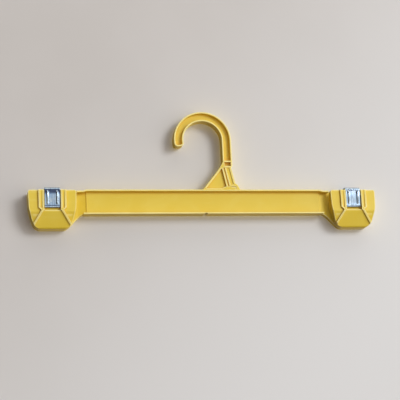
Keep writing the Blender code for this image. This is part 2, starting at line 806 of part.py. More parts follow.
def rear_jaw(side_name, flip, tools):
    """The fixed jaw: a plate at the mouth with a skirt and ribs behind it."""
    def shaped(kind, outline, low, high):
        shape = mirrored(outline) if flip else outline
        return prism(f"{side_name}_{kind}", shape, low, high, FRONT_VIEW, tools)

    jaw = shaped("rear_jaw", rear_outline(CLIP_CORNER), STEP_LEVEL - INSIDE, REAR_DEPTH)
    plan = mirrored(rear_plan()) if flip else rear_plan()
    low, high = -CLIP_BOTTOM - INSIDE, -CLIP_TOP + INSIDE
    keep_within(jaw, prism(f"{side_name}_rear_plan", plan, low, high, PLAN_VIEW, tools))
    back = MOUTH + REAR_PLATE
    past = REAR_DEPTH + INSIDE
    cut(jaw, shaped("rear_hollow", inset(rear_outline(0.0), SKIRT), back, past))
    top = -CLIP_TOP
    inner = CHANNEL_HALF_WIDTH
    for kind, sign in (("outer", 1), ("inner", -1)):
        ends = sorted((CLIP_CENTRE + sign * inner, CLIP_CENTRE + sign * (inner + RIB_WIDTH)))
        upright = box(*ends, -CLIP_BOTTOM + SKIRT / 2, top - CLIP_CORNER / 2)
        join(jaw, shaped(f"rear_{kind}_rib", upright, back - INSIDE, REAR_DEPTH))
    left, right = CLIP_CENTRE - inner, CLIP_CENTRE + inner
    bridge = box(left - INSIDE, right + INSIDE, -CHANNEL_FOOT - SKIRT, -CHANNEL_FOOT)
    join(jaw, shaped("rear_bridge", bridge, back - INSIDE, REAR_DEPTH))
    cut(jaw, shaped("rear_gate", box(left, right, top - 2 * SKIRT, top + INSIDE), back, past))
    join(jaw, *keepers(side_name, flip, tools))
    return cut(jaw, *rear_teeth(shaped))


def keepers(side_name, flip, tools):
    """Two low ridges on the rear jaw that keep the nose from sliding up or down."""
    made = []
    reach = CLIP_HALF_WIDTH - KEEPER_END
    centre = -CLIP_CENTRE if flip else CLIP_CENTRE
    for kind, sign in (("upper", 1), ("lower", -1)):
        start = PIVOT_Z + sign * (NOSE_RADIUS + GAP)
        near, peak, far = [start + sign * KEEPER * share for share in KEEPER_SHARES]
        ridge = [(MOUTH - KEEPER, peak), (MOUTH + INSIDE / 2, near), (MOUTH + INSIDE / 2, far)]
        made.append(prism(f"{side_name}_{kind}_keeper", ridge, centre - reach, centre + reach,
                          SIDE_VIEW, tools))
    return made


def rear_teeth(shaped):
    """Shallow grooves across the rear jaw's lip."""
    pitch = LIP_HEIGHT / TEETH
    left, right = CLIP_CENTRE - CLIP_FOOT_HALF, CLIP_CENTRE + CLIP_FOOT_HALF
    made = []
    for tooth in range(1, TEETH):
        middle = -CLIP_BOTTOM + tooth * pitch
        groove = box(left, right, middle - pitch / 5, middle + pitch / 5)
        made.append(shaped(f"rear_tooth_{tooth}", groove, MOUTH - INSIDE, MOUTH + TOOTH_DEPTH))
    return made


def set_joint_origin(solid, pivot):
    """Puts an object's origin on its joint's axis without moving its shape."""
    solid.data.transform(Matrix.Translation(-Vector(pivot)))
    solid.location = pivot


def build():
    clear_scene()
    parts = new_collection("clip_hanger")
    tools = new_collection("cutters")
    plastic = new_material("yellow_plastic", PLASTIC, 0.35, 0.0)
    steel = new_material("spring_steel", STEEL, 0.25, 1.0)
    hanger = body(parts, tools)
    ease_edges(hanger, EDGE_EASE, math.radians(35))
    hanger.data.materials.append(plastic)
    for side_name, sign in (("right", 1), ("left", -1)):
        before = set(tools.objects)
        jaw = front_jaw(side_name + "_jaw", parts, tools)
        clip = spring(side_name + "_spring", parts, tools)
        own_tools = [tool for tool in tools.objects if tool not in before]
        shift_x([jaw, clip, *own_tools], sign * CLIP_CENTRE)
        ease_edges(jaw, EDGE_EASE, math.radians(35))
        jaw.data.materials.append(plastic.copy())
        clip.data.materials.append(steel.copy())
        set_joint_origin(jaw, (sign * CLIP_CENTRE, PIVOT_Y, PIVOT_Z))


build()
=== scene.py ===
# %% [markdown]
# # A clip hanger in moulded plastic
#
# The hanger is one yellow moulding: a hook, a ribbed neck, a flanged bar and, at each end, the
# fixed half of a pinch clip. A loose front jaw rocks on each fixed half, and a U of spring steel
# holds the two together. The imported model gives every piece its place; this script gives each
# one its finished shape and surface. Everything is in metres, with the front towards -Y and the
# origin where the hook rests on a rod.

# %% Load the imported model
import math

import bmesh
import bpy
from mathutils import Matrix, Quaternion, Vector


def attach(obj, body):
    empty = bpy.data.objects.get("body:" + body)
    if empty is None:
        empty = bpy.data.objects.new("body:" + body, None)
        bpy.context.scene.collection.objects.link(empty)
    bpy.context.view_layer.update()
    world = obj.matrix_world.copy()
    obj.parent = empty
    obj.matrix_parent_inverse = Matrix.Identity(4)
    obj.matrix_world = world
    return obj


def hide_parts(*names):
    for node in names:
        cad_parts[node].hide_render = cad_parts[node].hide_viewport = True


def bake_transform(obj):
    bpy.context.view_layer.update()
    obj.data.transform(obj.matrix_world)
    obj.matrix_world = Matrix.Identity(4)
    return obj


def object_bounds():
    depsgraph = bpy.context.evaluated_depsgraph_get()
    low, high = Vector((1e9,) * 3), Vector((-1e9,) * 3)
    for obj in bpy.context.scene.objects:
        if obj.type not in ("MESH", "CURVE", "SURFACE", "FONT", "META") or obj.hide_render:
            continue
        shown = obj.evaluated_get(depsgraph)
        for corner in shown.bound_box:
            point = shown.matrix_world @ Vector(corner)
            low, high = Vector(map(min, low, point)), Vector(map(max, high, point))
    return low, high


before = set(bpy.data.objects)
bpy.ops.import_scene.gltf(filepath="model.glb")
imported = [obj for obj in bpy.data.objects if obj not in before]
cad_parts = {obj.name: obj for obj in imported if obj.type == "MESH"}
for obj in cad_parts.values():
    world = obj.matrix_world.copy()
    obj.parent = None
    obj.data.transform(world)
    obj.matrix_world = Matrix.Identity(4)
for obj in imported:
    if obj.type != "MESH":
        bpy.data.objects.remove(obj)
cad_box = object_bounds()

# %% [markdown]
# ## The camera
#
# The hanger is seen from a little to the left and from below, so thin strips of the walls that
# face left and down show beside every rib. The camera stands in that direction. Its lens is
# worked out from the width that the picture has to show, and a small roll levels the bar. It
# could be moved by hand until the picture fits, but written as numbers, each of these can be
# checked and changed by itself.

# %% Camera
VIEW_WIDTH = 0.3406
VIEW_CENTRE = Vector((-0.0039, 0.0, -0.0687))
CAMERA_DISTANCE = 1.10
CAMERA_LEFT = math.radians(12.0)
CAMERA_BELOW = math.radians(13.0)
CAMERA_ROLL = math.radians(-2.80)
SENSOR_WIDTH = 36.0
NEAREST = 0.01


def place_camera():
    """A camera at the photograph's angle; its lens follows from the width to be shown."""
    direction = Vector((
        -math.sin(CAMERA_LEFT) * math.cos(CAMERA_BELOW),
        -math.cos(CAMERA_LEFT) * math.cos(CAMERA_BELOW),
        -math.sin(CAMERA_BELOW),
    ))
    bpy.ops.object.camera_add(location=VIEW_CENTRE + direction * CAMERA_DISTANCE)
    camera = bpy.context.object
    aim = (-direction).to_track_quat("-Z", "Y") @ Quaternion((0, 0, 1), CAMERA_ROLL)
    camera.rotation_euler = aim.to_euler()
    camera.data.sensor_width = SENSOR_WIDTH
    camera.data.lens = SENSOR_WIDTH * CAMERA_DISTANCE / VIEW_WIDTH
    camera.data.clip_start = NEAREST
    bpy.context.scene.camera = camera
    return camera


print("lens", round(place_camera().data.lens, 1), "mm")
bpy.context.scene.view_settings.view_transform = "Standard"

# %% [markdown]
# ## Bench tools
#
# Every shape below starts as a block or as a flat plate cut to an outline. It is sawn or scored
# with straight cuts, bevelled, and joined to its neighbours. These helpers do those few steps
# with Blender's own operators. An operator works on whatever is selected, so each helper first
# drops everything and then picks only what it needs, by place or by the way a face looks.

# %% Selecting
X_AXIS = Vector((1, 0, 0))
Y_AXIS = Vector((0, 1, 0))
Z_AXIS = Vector((0, 0, 1))
SPECK = 0.000003
BENT = 0.5
CORNER = 1.0
SQUARE = 1.2


def put_down():
    """Leaves edit mode with nothing selected."""
    if bpy.context.object and bpy.context.object.mode == "EDIT":
        bpy.ops.object.mode_set(mode="OBJECT")
    bpy.ops.object.select_all(action="DESELECT")


def pick_up(item):
    """Makes one item the selected and active one."""
    put_down()
    item.select_set(True)
    bpy.context.view_layer.objects.active = item
    return item


def choose(item, kind, test):
    """Opens an item in edit mode with the faces, edges or corners that pass a test selected."""
    pick_up(item)
    bpy.ops.object.mode_set(mode="EDIT")
    bpy.ops.mesh.select_mode(type=kind)
    bpy.ops.mesh.select_all(action="DESELECT")
    shape = bmesh.from_edit_mesh(item.data)
    parts = {"FACE": shape.faces, "EDGE": shape.edges, "VERT": shape.verts}[kind]
    chosen = [part for part in parts if test(part)]
    for part in chosen:
        part.select_set(True)
    shape.select_flush_mode()
    bmesh.update_edit_mesh(item.data)
    return len(chosen)


def anything(part):
    return True


def middle(part):
    """The middle of a face or of an edge."""
    return sum((corner.co for corner in part.verts), Vector()) / len(part.verts)


def sharp(edge, least=BENT):
    """Whether the faces beside an edge turn by more than an angle in radians."""
    return edge.calc_face_angle(0.0) > least


# %% Shaping
def block(name, low, high):
    """A cube primitive between its lowest and its highest corner."""
    low, high = Vector(low), Vector(high)
    put_down()
    bpy.ops.mesh.primitive_cube_add(size=1, location=(low + high) / 2, scale=high - low)
    bpy.ops.object.transform_apply(location=True, rotation=True, scale=True)
    bpy.context.object.name = name
    return bpy.context.object


def score(item, axis, levels, test=anything):
    """Marks a straight line round an item at each level along an axis."""
    for level in levels:
        choose(item, "FACE", test)
        bpy.ops.mesh.bisect(plane_co=axis * level, plane_no=axis)
    put_down()
    return item


def saw(item, point, outwards):
    """Saws off what lies outside a plane and closes the cut."""
    choose(item, "FACE", anything)
    bpy.ops.mesh.bisect(plane_co=point, plane_no=outwards, use_fill=True, clear_outer=True)
    put_down()
    return item


def ease(item, radius, segments=3, test=sharp):
    """Rounds the edges that pass a test."""
    if choose(item, "EDGE", test):
        bpy.ops.mesh.bevel(offset=radius, segments=segments, affect="EDGES", clamp_overlap=True)
        bpy.ops.mesh.select_all(action="SELECT")
        bpy.ops.mesh.remove_doubles(threshold=SPECK)
        bpy.ops.mesh.dissolve_degenerate(threshold=SPECK)
    put_down()
    return item


# %% Plates cut to an outline
FIRST_RING = 0.01
SHARPEST_MITRE = 0.3


def run_axis(view):
    """The direction in which a plate gets its thickness: front, side or top view."""
    return {"front": Y_AXIS, "side": X_AXIS, "top": Z_AXIS}[view]


def in_space(view, across, up, level):
    """A point of a drawing, given as a front, side or top view, at its level."""
    if view == "front":
        return Vector((across, level, up))
    if view == "side":
        return Vector((level, across, up))
    return Vector((across, up, level))


def plate(name, outline, low, high, view="front"):
    """A flat plate: a ring of corners dragged to the outline, filled and pulled out."""
    put_down()
    bpy.ops.mesh.primitive_circle_add(vertices=len(outline), radius=FIRST_RING, fill_type="NGON")
    item = bpy.context.object
    item.name = name
    bpy.ops.object.mode_set(mode="EDIT")
    bpy.ops.mesh.select_mode(type="VERT")
    for index, (across, up) in enumerate(outline):
        bpy.ops.mesh.select_all(action="DESELECT")
        ring = bmesh.from_edit_mesh(item.data)
        ring.verts.ensure_lookup_table()
        corner = ring.verts[index]
        corner.select_set(True)
        bpy.ops.transform.translate(value=in_space(view, across, up, low) - corner.co)
    bpy.ops.mesh.select_all(action="SELECT")
    thickness = run_axis(view) * (high - low)
    bpy.ops.mesh.extrude_region_move(TRANSFORM_OT_translate={"value": thickness})
    bpy.ops.mesh.select_all(action="SELECT")
    bpy.ops.mesh.normals_make_consistent(inside=False)
    put_down()
    return item


def arc(centre, radius, start, end, steps):
    """Points on a circle between two angles in degrees."""
    points = []
    for step in range(steps + 1):
        angle = math.radians(start + (end - start) * step / steps)
        points.append((centre[0] + radius * math.cos(angle), centre[1] + radius * math.sin(angle)))
    return points


def flipped(outline):
    """The mirror image of an outline, run the other way round."""
    return [(-across, up) for across, up in reversed(outline)]


def shifted(outline, distance):
    """An outline moved across."""
    return [(across + distance, up) for across, up in outline]


def eased(points, steps):
    """A smooth line through a few points, with extra points between them."""
    line = []
    for index in range(len(points) - 1):
        before = Vector(points[max(index - 1, 0)])
        start, end = Vector(points[index]), Vector(points[index + 1])
        after = Vector(points[min(index + 2, len(points) - 1)])
        for step in range(steps):
            t = step / steps
            pull = (end - before) * t + (2 * before - 5 * start + 4 * end - after) * t ** 2
            pull += (3 * start - before - 3 * end + after) * t ** 3
            line.append(tuple(start + pull / 2))
    return line + [tuple(points[-1])]


def drawn_in(outline, distance):
    """An outline moved inwards, whichever way round it runs."""
    count = len(outline)
    corners = [Vector(point) for point in outline]
    turn = sum(corners[i - 1].cross(corners[i]) for i in range(count))
    sign = 1 if turn > 0 else -1
    moved = []
    for index, here in enumerate(corners):
        first = (here - corners[index - 1]).normalized()
        second = (corners[(index + 1) % count] - here).normalized()
        side_1 = Vector((-first.y, first.x)) * sign
        side_2 = Vector((-second.y, second.x)) * sign
        mitre = (side_1 + side_2).normalized()
        moved.append(tuple(here + mitre * distance / max(mitre.dot(side_1), SHARPEST_MITRE)))
    return moved


# %% Joining
SPARE = 0.001
PAST = 1.5
HAIR = 0.00003
SMOOTH_BELOW = math.radians(32.0)
FACE_WEIGHT = 80


def finish_with(item, kind, **settings):
    """Adds a modifier, sets it and applies it."""
    pick_up(item)
    step = item.modifiers.new(kind.lower(), kind)
    for setting, value in settings.items():
        setattr(step, setting, value)
    bpy.ops.object.modifier_apply(modifier=step.name)
    return item


def tidy(item):
    """Welds doubles, clears crumbs, and turns all faces outwards."""
    choose(item, "FACE", anything)
    bpy.ops.mesh.remove_doubles(threshold=SPECK)
    bpy.ops.mesh.dissolve_degenerate(threshold=SPECK)
    bpy.ops.mesh.select_all(action="SELECT")
    bpy.ops.mesh.normals_make_consistent(inside=False)
    put_down()
    return item


def combine(item, tools, operation):
    """Joins an item with each tool in turn; the tools are used up."""
    for tool in tools:
        finish_with(item, "BOOLEAN", operation=operation, solver="MANIFOLD", object=tool)
        bpy.data.objects.remove(tool)
    return item


def weld(item, *tools):
    return combine(item, tools, "UNION")


def carve(item, *tools):
    return combine(item, tools, "DIFFERENCE")


def trimmed(item, region):
    """What lies of an item within a region."""
    return combine(item, [region], "INTERSECT")


def copy_of(item, name):
    pick_up(item)
    bpy.ops.object.duplicate()
    bpy.context.object.name = name
    return bpy.context.object


def mirror_copy(item, name):
    """The same piece for the other end of the hanger, turned the right way out."""
    other = copy_of(item, name)
    choose(other, "VERT", anything)
    bpy.ops.transform.resize(value=(-1, 1, 1), center_override=(0, 0, 0))
    bpy.ops.mesh.select_all(action="SELECT")
    bpy.ops.mesh.normals_make_consistent(inside=False)
    put_down()
    return other


def smooth_shade(item):
    """Shades smoothly across gentle bends, and lets the large faces set the normals."""
    pick_up(item)
    bpy.ops.object.shade_smooth_by_angle(angle=SMOOTH_BELOW)
    finish_with(item, "WEIGHTED_NORMAL", keep_sharp=True, weight=FACE_WEIGHT)
    return item


def report(item):
    """Prints how many triangles an item has, and its size."""
    item.data.calc_loop_triangles()
    spans = [round(span * 1000, 1) for span in item.dimensions]
    print(item.name, "triangles:", len(item.data.loop_triangles), "size in mm:", spans)
    return item


# %% [markdown]
# ## The hook
#
# The hook is a flat bar bent on edge. Its rim stands proud on both faces round a thin web,
# which makes it stiff with little plastic. It could be a curve with a bevel, but a curve leaves
# the trough's closed end to be built by hand. Here the shaft is a block, its top face is spun
# round the rod's centre, and the trough is inset from the whole front face at once, so that it
# keeps the same distance from the rim all the way, also round the tip.

# %% Hook
HOOK_INNER_RADIUS = 0.0168
HOOK_WIDTH = 0.0082
HOOK_HALF_DEPTH = 0.0045
HOOK_RIM = 0.0013
HOOK_HALF_WEB = 0.0011
HOOK_TURN = math.radians(187.2)
HOOK_STEPS = 72
HOOK_TIP_LENGTH = 0.0032
HOOK_TIP_ROUND = 0.0030
SHAFT_FOOT = -0.0350
EDGE_ROUND = 0.00035
ROD_CENTRE = Vector((0, 0, -HOOK_INNER_RADIUS))
SHAFT_RIGHT = HOOK_INNER_RADIUS + HOOK_WIDTH


def is_tip_edge(edge):
    """The two edges across the hook's tip, which the rounding takes away."""
    along = edge.verts[0].co - edge.verts[1].co
    return abs(along.y) > HOOK_HALF_DEPTH and middle(edge).x < 0 and sharp(edge, CORNER)


def press_trough(item, side, rim, floor):
    """Insets the front or the back face, and presses the inner part in to the web."""
    choose(item, "FACE", lambda face: face.normal.y * side > 0.5)
    bpy.ops.mesh.inset(thickness=rim, use_boundary=True, use_even_offset=True)
    depth = HOOK_HALF_DEPTH - floor
    bpy.ops.mesh.extrude_region_move(TRANSFORM_OT_translate={"value": (0, -side * depth, 0)})
    put_down()


hook = block("hook", (HOOK_INNER_RADIUS, -HOOK_HALF_DEPTH, SHAFT_FOOT - HOOK_RIM),
             (SHAFT_RIGHT, HOOK_HALF_DEPTH, -HOOK_INNER_RADIUS))
choose(hook, "FACE", lambda face: face.normal.z > 0.5)
bpy.ops.mesh.spin(steps=HOOK_STEPS, angle=HOOK_TURN, center=ROD_CENTRE, axis=Y_AXIS)
tip_way = Vector((-math.sin(HOOK_TURN), 0, math.cos(HOOK_TURN)))
choose(hook, "FACE",
       lambda face: face.normal.dot(tip_way) > 0.999 and middle(face).z < ROD_CENTRE.z)
bpy.ops.mesh.extrude_region_move(TRANSFORM_OT_translate={"value": tip_way * HOOK_TIP_LENGTH})
tidy(hook)
ease(hook, HOOK_TIP_ROUND, segments=8, test=is_tip_edge)
for side in (-1, 1):
    press_trough(hook, side, HOOK_RIM, HOOK_HALF_WEB)
ease(hook, EDGE_ROUND, segments=3)
report(hook)

# %% [markdown]
# ## The neck
#
# Below the shaft the plate widens to meet the bar. It is ribbed instead of solid: two cross
# ribs with a small deep pocket between them, a rim down each side, and two slanted stays. On
# the left is a large triangular pocket, on the right a shallow panel, and a low seat with a
# thin groove closes the foot. An inset, as in the hook, would give every recess the same rim
# and depth, so here each one is a plate with its own outline that is cut from both faces.

# %% Neck
BAR_TOP = -0.0606
SLIVER = 0.00002
NECK_UNDER_SHAFT = 0.0003
NECK_HALF_DEPTH = HOOK_HALF_DEPTH - SLIVER
NECK_TOP = SHAFT_FOOT - NECK_UNDER_SHAFT
SHAFT_SIDES = (HOOK_INNER_RADIUS + SLIVER, SHAFT_RIGHT - SLIVER)
SEAT_TOP = -0.0578
STAY_HEAD = -0.0411
POCKET_ROUND = 0.0002
NECK_OUTLINE = [
    (SHAFT_SIDES[0], NECK_TOP), (SHAFT_SIDES[0], -0.0360), (0.0140, -0.0412),
    (-0.0018, BAR_TOP), (-0.0018, -0.0614), (0.0310, -0.0614), (0.0310, BAR_TOP),
    (0.0286, -0.0560), (0.0269, -0.0553), (0.0238, STAY_HEAD),
    (SHAFT_SIDES[1], -0.0398), (SHAFT_SIDES[1], NECK_TOP),
]
NECK_POCKETS = {
    "small": (0.0030, [
        (0.0181, -0.0398), (0.0237, -0.0398), (0.0237, -0.0363), (0.0181, -0.0363)]),
    "triangle": (0.0020, [
        (0.01571, -0.04164), (0.00108, -0.0596), (0.0152, -0.0596), (0.0166, -0.0586),
        (0.0190, SEAT_TOP)]),
    "slot": (0.0011, [
        (0.0168, STAY_HEAD), (0.0202, SEAT_TOP), (0.0217, SEAT_TOP), (0.0181, STAY_HEAD)]),
    "panel": (0.0007, [
        (0.0193, STAY_HEAD), (0.02271, -0.0569), (0.02539, -0.0557), (0.0222, STAY_HEAD)]),
    "seat_groove": (0.0011, [
        (0.0232, SEAT_TOP), (0.0232, -0.0583), (0.0270, -0.0583), (0.0270, -0.0601),
        (0.0275, -0.0601), (0.0275, SEAT_TOP)]),
}


def neck_tools(side):
    """The cutters for one face of the neck; only a deep one has its edges eased."""
    made = []
    for name, (depth, outline) in NECK_POCKETS.items():
        ends = sorted((side * (NECK_HALF_DEPTH - depth), side * HOOK_HALF_DEPTH * PAST))
        cutter = plate("pocket_" + name, outline, *ends)
        made.append(ease(cutter, POCKET_ROUND, segments=2) if depth > 3 * POCKET_ROUND else cutter)
    return made


neck = plate("neck", NECK_OUTLINE, -NECK_HALF_DEPTH, NECK_HALF_DEPTH)
ease(neck, EDGE_ROUND)
for side in (-1, 1):
    carve(neck, *neck_tools(side))
report(neck)

# %% [markdown]
# ## The bar
#
# The bar is an I section: a thin upright web between a top and a bottom flange. Near each clip
# the web steps back into the plate of the fixed jaw, and the top flange drops a little. One
# profile pulled along the bar couldn't make those steps, so the web and the flanges are three
# plates, each drawn in the view that shows its own bends, and then joined.

# %% Bar
BAR_HEIGHT = 0.0211
BAR_HALF_DEPTH = 0.0050
BAR_HALF_WEB = 0.0009
TOP_FLANGE = 0.0014
BOTTOM_FLANGE = 0.0013
FLANGE_REACH = 0.1042
STEP_START = 0.1010
STEP_RUN = 0.0008
STEP_LEVEL = -0.0001
STEP_PARTS = 8
WEB_RUNS_IN = 1.5
FLANGE_RUN = 0.0035
END_DROP = 0.0009
CLIP_HALF_WIDTH = 0.0200
CLIP_CENTRE = 0.1300
CLIP_EDGE = CLIP_CENTRE - CLIP_HALF_WIDTH
FLANGE_GAP = 0.0006
FLANGE_END = CLIP_EDGE - FLANGE_GAP
MOUTH = 0.0012
REAR_PLATE = 0.0020
FLANGE_EASE = 0.0004
BAR_BOTTOM = BAR_TOP - BAR_HEIGHT


def both_ends(right):
    """A line given for the right end, run on from its mirror image at the left end."""
    return [(-across, up) for across, up in reversed(right)] + right


def eased_step(start, end, low, high):
    """A soft step between two levels."""
    points = []
    for step in range(STEP_PARTS + 1):
        share = step / STEP_PARTS
        rise = share ** 2 * (3 - 2 * share)
        points.append((start + (end - start) * share, low + (high - low) * rise))
    return points


def along_bar(edge):
    """A square edge that doesn't run from front to back."""
    return abs((edge.verts[0].co - edge.verts[1].co).y) < SPARE and sharp(edge, SQUARE)


def make_bar():
    """The web with its two flanges, eased along their edges."""
    top_line = eased_step(STEP_START, STEP_START + FLANGE_RUN, BAR_TOP, BAR_TOP - END_DROP)
    top_line.append((FLANGE_END, BAR_TOP - END_DROP))
    low_line = [(across, up - TOP_FLANGE) for across, up in top_line]
    top_outline = both_ends(low_line) + list(reversed(both_ends(top_line)))
    top = plate("top_flange", top_outline, -BAR_HALF_DEPTH, BAR_HALF_DEPTH)
    ease(top, FLANGE_EASE, test=along_bar)
    half = BOTTOM_FLANGE / 2
    tip = arc((FLANGE_REACH - half, BAR_BOTTOM + half), half, -90, 90, 8)
    low = plate("bottom_flange", tip + flipped(tip), -BAR_HALF_DEPTH, BAR_HALF_DEPTH)
    ease(low, FLANGE_EASE, test=lambda edge: sharp(edge, SQUARE))
    inside = STEP_START + WEB_RUNS_IN * STEP_RUN
    front = [(STEP_START, -BAR_HALF_WEB), (inside, STEP_LEVEL + STEP_RUN / 2)]
    back = [(STEP_START, BAR_HALF_WEB), (inside, BAR_HALF_WEB)]
    plan = both_ends(front) + list(reversed(both_ends(back)))
    web = plate("bar", plan, BAR_BOTTOM + half, BAR_TOP - (END_DROP + TOP_FLANGE) / 2, view="top")
    return weld(web, top, low)


bar = make_bar()
report(bar)

# %% Notch under the bar
NOTCH_HEIGHT = 0.0008
NOTCH = [
    (-0.0019, BAR_BOTTOM - SPARE), (0.0015, BAR_BOTTOM - SPARE),
    (0.0011, BAR_BOTTOM + NOTCH_HEIGHT), (-0.0011, BAR_BOTTOM + NOTCH_HEIGHT),
]
carve(bar, plate("notch", NOTCH, -2 * BAR_HALF_DEPTH, 2 * BAR_HALF_DEPTH))
report(bar)

# %% [markdown]
# ## The fixed jaws
#
# Each end of the moulding is the rear half of a clip: a plate at the mouth, with a skirt and
# ribs behind it for stiffness. It is cut out of one thick plate instead of built from walls,
# because then the skirt keeps an even thickness all along the outline. The right one is
# modelled, and its mirror image serves the left.

# %% Outline of a clip
CLIP_TOP = -0.0616
CLIP_BOTTOM = -0.0939
CLIP_CORNER = 0.0018
FOOT_HALF = 0.0100
SIDE_STEPS = 3
SIDE_POINTS = [
    (0.0200, CLIP_TOP - CLIP_CORNER), (0.0197, -0.07355), (0.0193, -0.07775), (0.0180, -0.08311),
    (0.0163, -0.0888), (0.0137, -0.09245), (FOOT_HALF, CLIP_BOTTOM),
]


def clip_side(square=False):
    """Right half of a clip's outline from its top corner down to its foot."""
    if square:
        return [(CLIP_HALF_WIDTH, CLIP_TOP)] + SIDE_POINTS[1:]
    centre = (CLIP_HALF_WIDTH - CLIP_CORNER, CLIP_TOP - CLIP_CORNER)
    return arc(centre, CLIP_CORNER, 90, 0, 6)[:-1] + eased(SIDE_POINTS, SIDE_STEPS)


def shield(square=False):
    """The whole outline of a clip; a square one has a plain top corner and straight sides."""
    right = list(reversed(clip_side(square)))
    return right + flipped(right)


print("outline of a clip:", len(shield()), "points")

# %% Fixed jaws
REAR_DEPTH = 0.0066
SKIRT = 0.0016
CHANNEL_HALF = 0.0069
RIB_WIDTH = 0.0046
CHANNEL_FOOT = -0.0790
LIP_HEIGHT = 0.0034
PIVOT = Vector((CLIP_CENTRE, -0.0001, -0.0711))
NOSE_RADIUS = 0.0010
NOSE_ROOM = 0.0003
KEEPER = 0.0007
KEEPER_SHARES = (0.2, 0.8, 1.8)
KEEPER_ROOT = 0.0005
KEEPER_REACH = 0.72
TEETH = 3
TOOTH_REACH = 0.0180
TOOTH_DEPTH = 0.0004
FLANGE_OVERLAP = 0.0003
FLANGE_MIDDLE = -0.0622
FAR_SIDE = 0.1510
FAR_BACK = 0.008
SLOPE_GAP = 0.0001
SLOPE_END = 0.0015
SKIRT_ROUND = 0.0005
BACK_ROOM = 0.0002
RIB_ROUND = 0.0004
REAR_RIB_DROP = 0.0009
BRIDGE_SINK = 0.0003
SWEEP_STEPS = 2
SWEEP = [
    (0.1035, -0.08105), (0.10556, -0.08187), (0.10762, -0.08336), (0.10969, -0.0853),
    (0.11175, -0.08747), (0.11381, -0.08965), (0.11588, -0.09159), (0.11794, -0.09308),
    (CLIP_CENTRE - FOOT_HALF, CLIP_BOTTOM),
]


def rear_outline(square=False):
    """The fixed jaw with the S curve that sweeps down from the bar."""
    outer = shifted(list(reversed(clip_side(square))), CLIP_CENTRE)
    inner, left = FLANGE_END - FLANGE_OVERLAP, STEP_START + STEP_RUN / 2
    top = [(inner, CLIP_TOP), (inner, FLANGE_MIDDLE), (left, FLANGE_MIDDLE), (left, SWEEP[0][1])]
    return outer + top + (SWEEP if square else eased(SWEEP, SWEEP_STEPS))


def on_back(edge):
    """A square edge of the jaw's rearmost face."""
    nearest = min(corner.co.y for corner in edge.verts)
    return sharp(edge, SQUARE) and nearest > REAR_DEPTH - BACK_ROOM


def rear_shell():
    """The fixed jaw's plate with the slope that leads to it, and the skirt round its back."""
    jaw = plate("rear_jaw", rear_outline(), STEP_LEVEL - SPARE, REAR_DEPTH)
    slope = [
        (STEP_START, STEP_LEVEL), (STEP_START + STEP_RUN + SLOPE_GAP, STEP_LEVEL),
        (CLIP_EDGE - SLOPE_END, MOUTH), (FAR_SIDE, MOUTH), (FAR_SIDE, FAR_BACK),
        (STEP_START, FAR_BACK),
    ]
    trimmed(jaw, plate("rear_plan", slope, CLIP_BOTTOM - SPARE, CLIP_TOP + SPARE, view="top"))
    ease(jaw, SKIRT_ROUND, test=on_back)
    inside = drawn_in(rear_outline(square=True), SKIRT)
    return carve(jaw, plate("rear_hollow", inside, MOUTH + REAR_PLATE, REAR_DEPTH * PAST))


def rear_ribs():
    """Two upright ribs beside the spring, and the bridge between them."""
    front = MOUTH + REAR_PLATE - SPARE
    made = []
    for side in (-1, 1):
        reaches = (CHANNEL_HALF, CHANNEL_HALF + RIB_WIDTH)
        left, right = sorted(CLIP_CENTRE + side * reach for reach in reaches)
        rib = block("rear_rib", (left, front, CLIP_BOTTOM + SKIRT / 2),
                    (right, REAR_DEPTH - HAIR, CLIP_TOP - REAR_RIB_DROP))
        made.append(ease(rib, RIB_ROUND))
    reach = CHANNEL_HALF + SPARE
    made.append(block("bridge", (CLIP_CENTRE - reach, front, CHANNEL_FOOT - SKIRT),
                      (CLIP_CENTRE + reach, REAR_DEPTH - BRIDGE_SINK, CHANNEL_FOOT)))
    return made


def spring_gate():
    """The cutter for the gap in the skirt that lets the spring's back leg in."""
    reach = CHANNEL_HALF - HAIR
    low = (CLIP_CENTRE - reach, MOUTH + REAR_PLATE + HAIR, CLIP_TOP - 2 * SKIRT)
    return block("gate", low, (CLIP_CENTRE + reach, REAR_DEPTH * PAST, CLIP_TOP + 2 * SPARE))


def keepers():
    """Two low ridges that keep the loose jaw's nose from sliding up or down."""
    made = []
    reach = CLIP_HALF_WIDTH * KEEPER_REACH
    for side in (1, -1):
        start = PIVOT.z + side * (NOSE_RADIUS + NOSE_ROOM)
        close, peak, far = [start + side * KEEPER * share for share in KEEPER_SHARES]
        ridge = [(MOUTH - KEEPER, peak), (MOUTH + KEEPER_ROOT, close), (MOUTH + KEEPER_ROOT, far)]
        made.append(plate("keeper", ridge, CLIP_CENTRE - reach, CLIP_CENTRE + reach, view="side"))
    return made


def tooth_gaps(reach, front, back):
    """Cutters for the shallow grooves that leave teeth across a lip."""
    made = []
    pitch = LIP_HEIGHT / TEETH
    for step in range(1, TEETH):
        height = CLIP_BOTTOM + step * pitch
        made.append(block("tooth_gap", (CLIP_CENTRE - reach, front, height - pitch / 5),
                          (CLIP_CENTRE + reach, back, height + pitch / 5)))
    return made


right_rear = weld(rear_shell(), *rear_ribs())
carve(right_rear, spring_gate())
weld(right_rear, *keepers())
carve(right_rear, *tooth_gaps(TOOTH_REACH, MOUTH - SPARE, MOUTH + TOOTH_DEPTH))
left_rear = mirror_copy(right_rear, "left_rear")
report(right_rear)

# %% One moulding
hanger = weld(bar, hook, neck, right_rear, left_rear)
hanger.name = "moulded_hanger"
smooth_shade(hanger)
report(hanger)
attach(hanger, "hanger")
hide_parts("hanger_body")

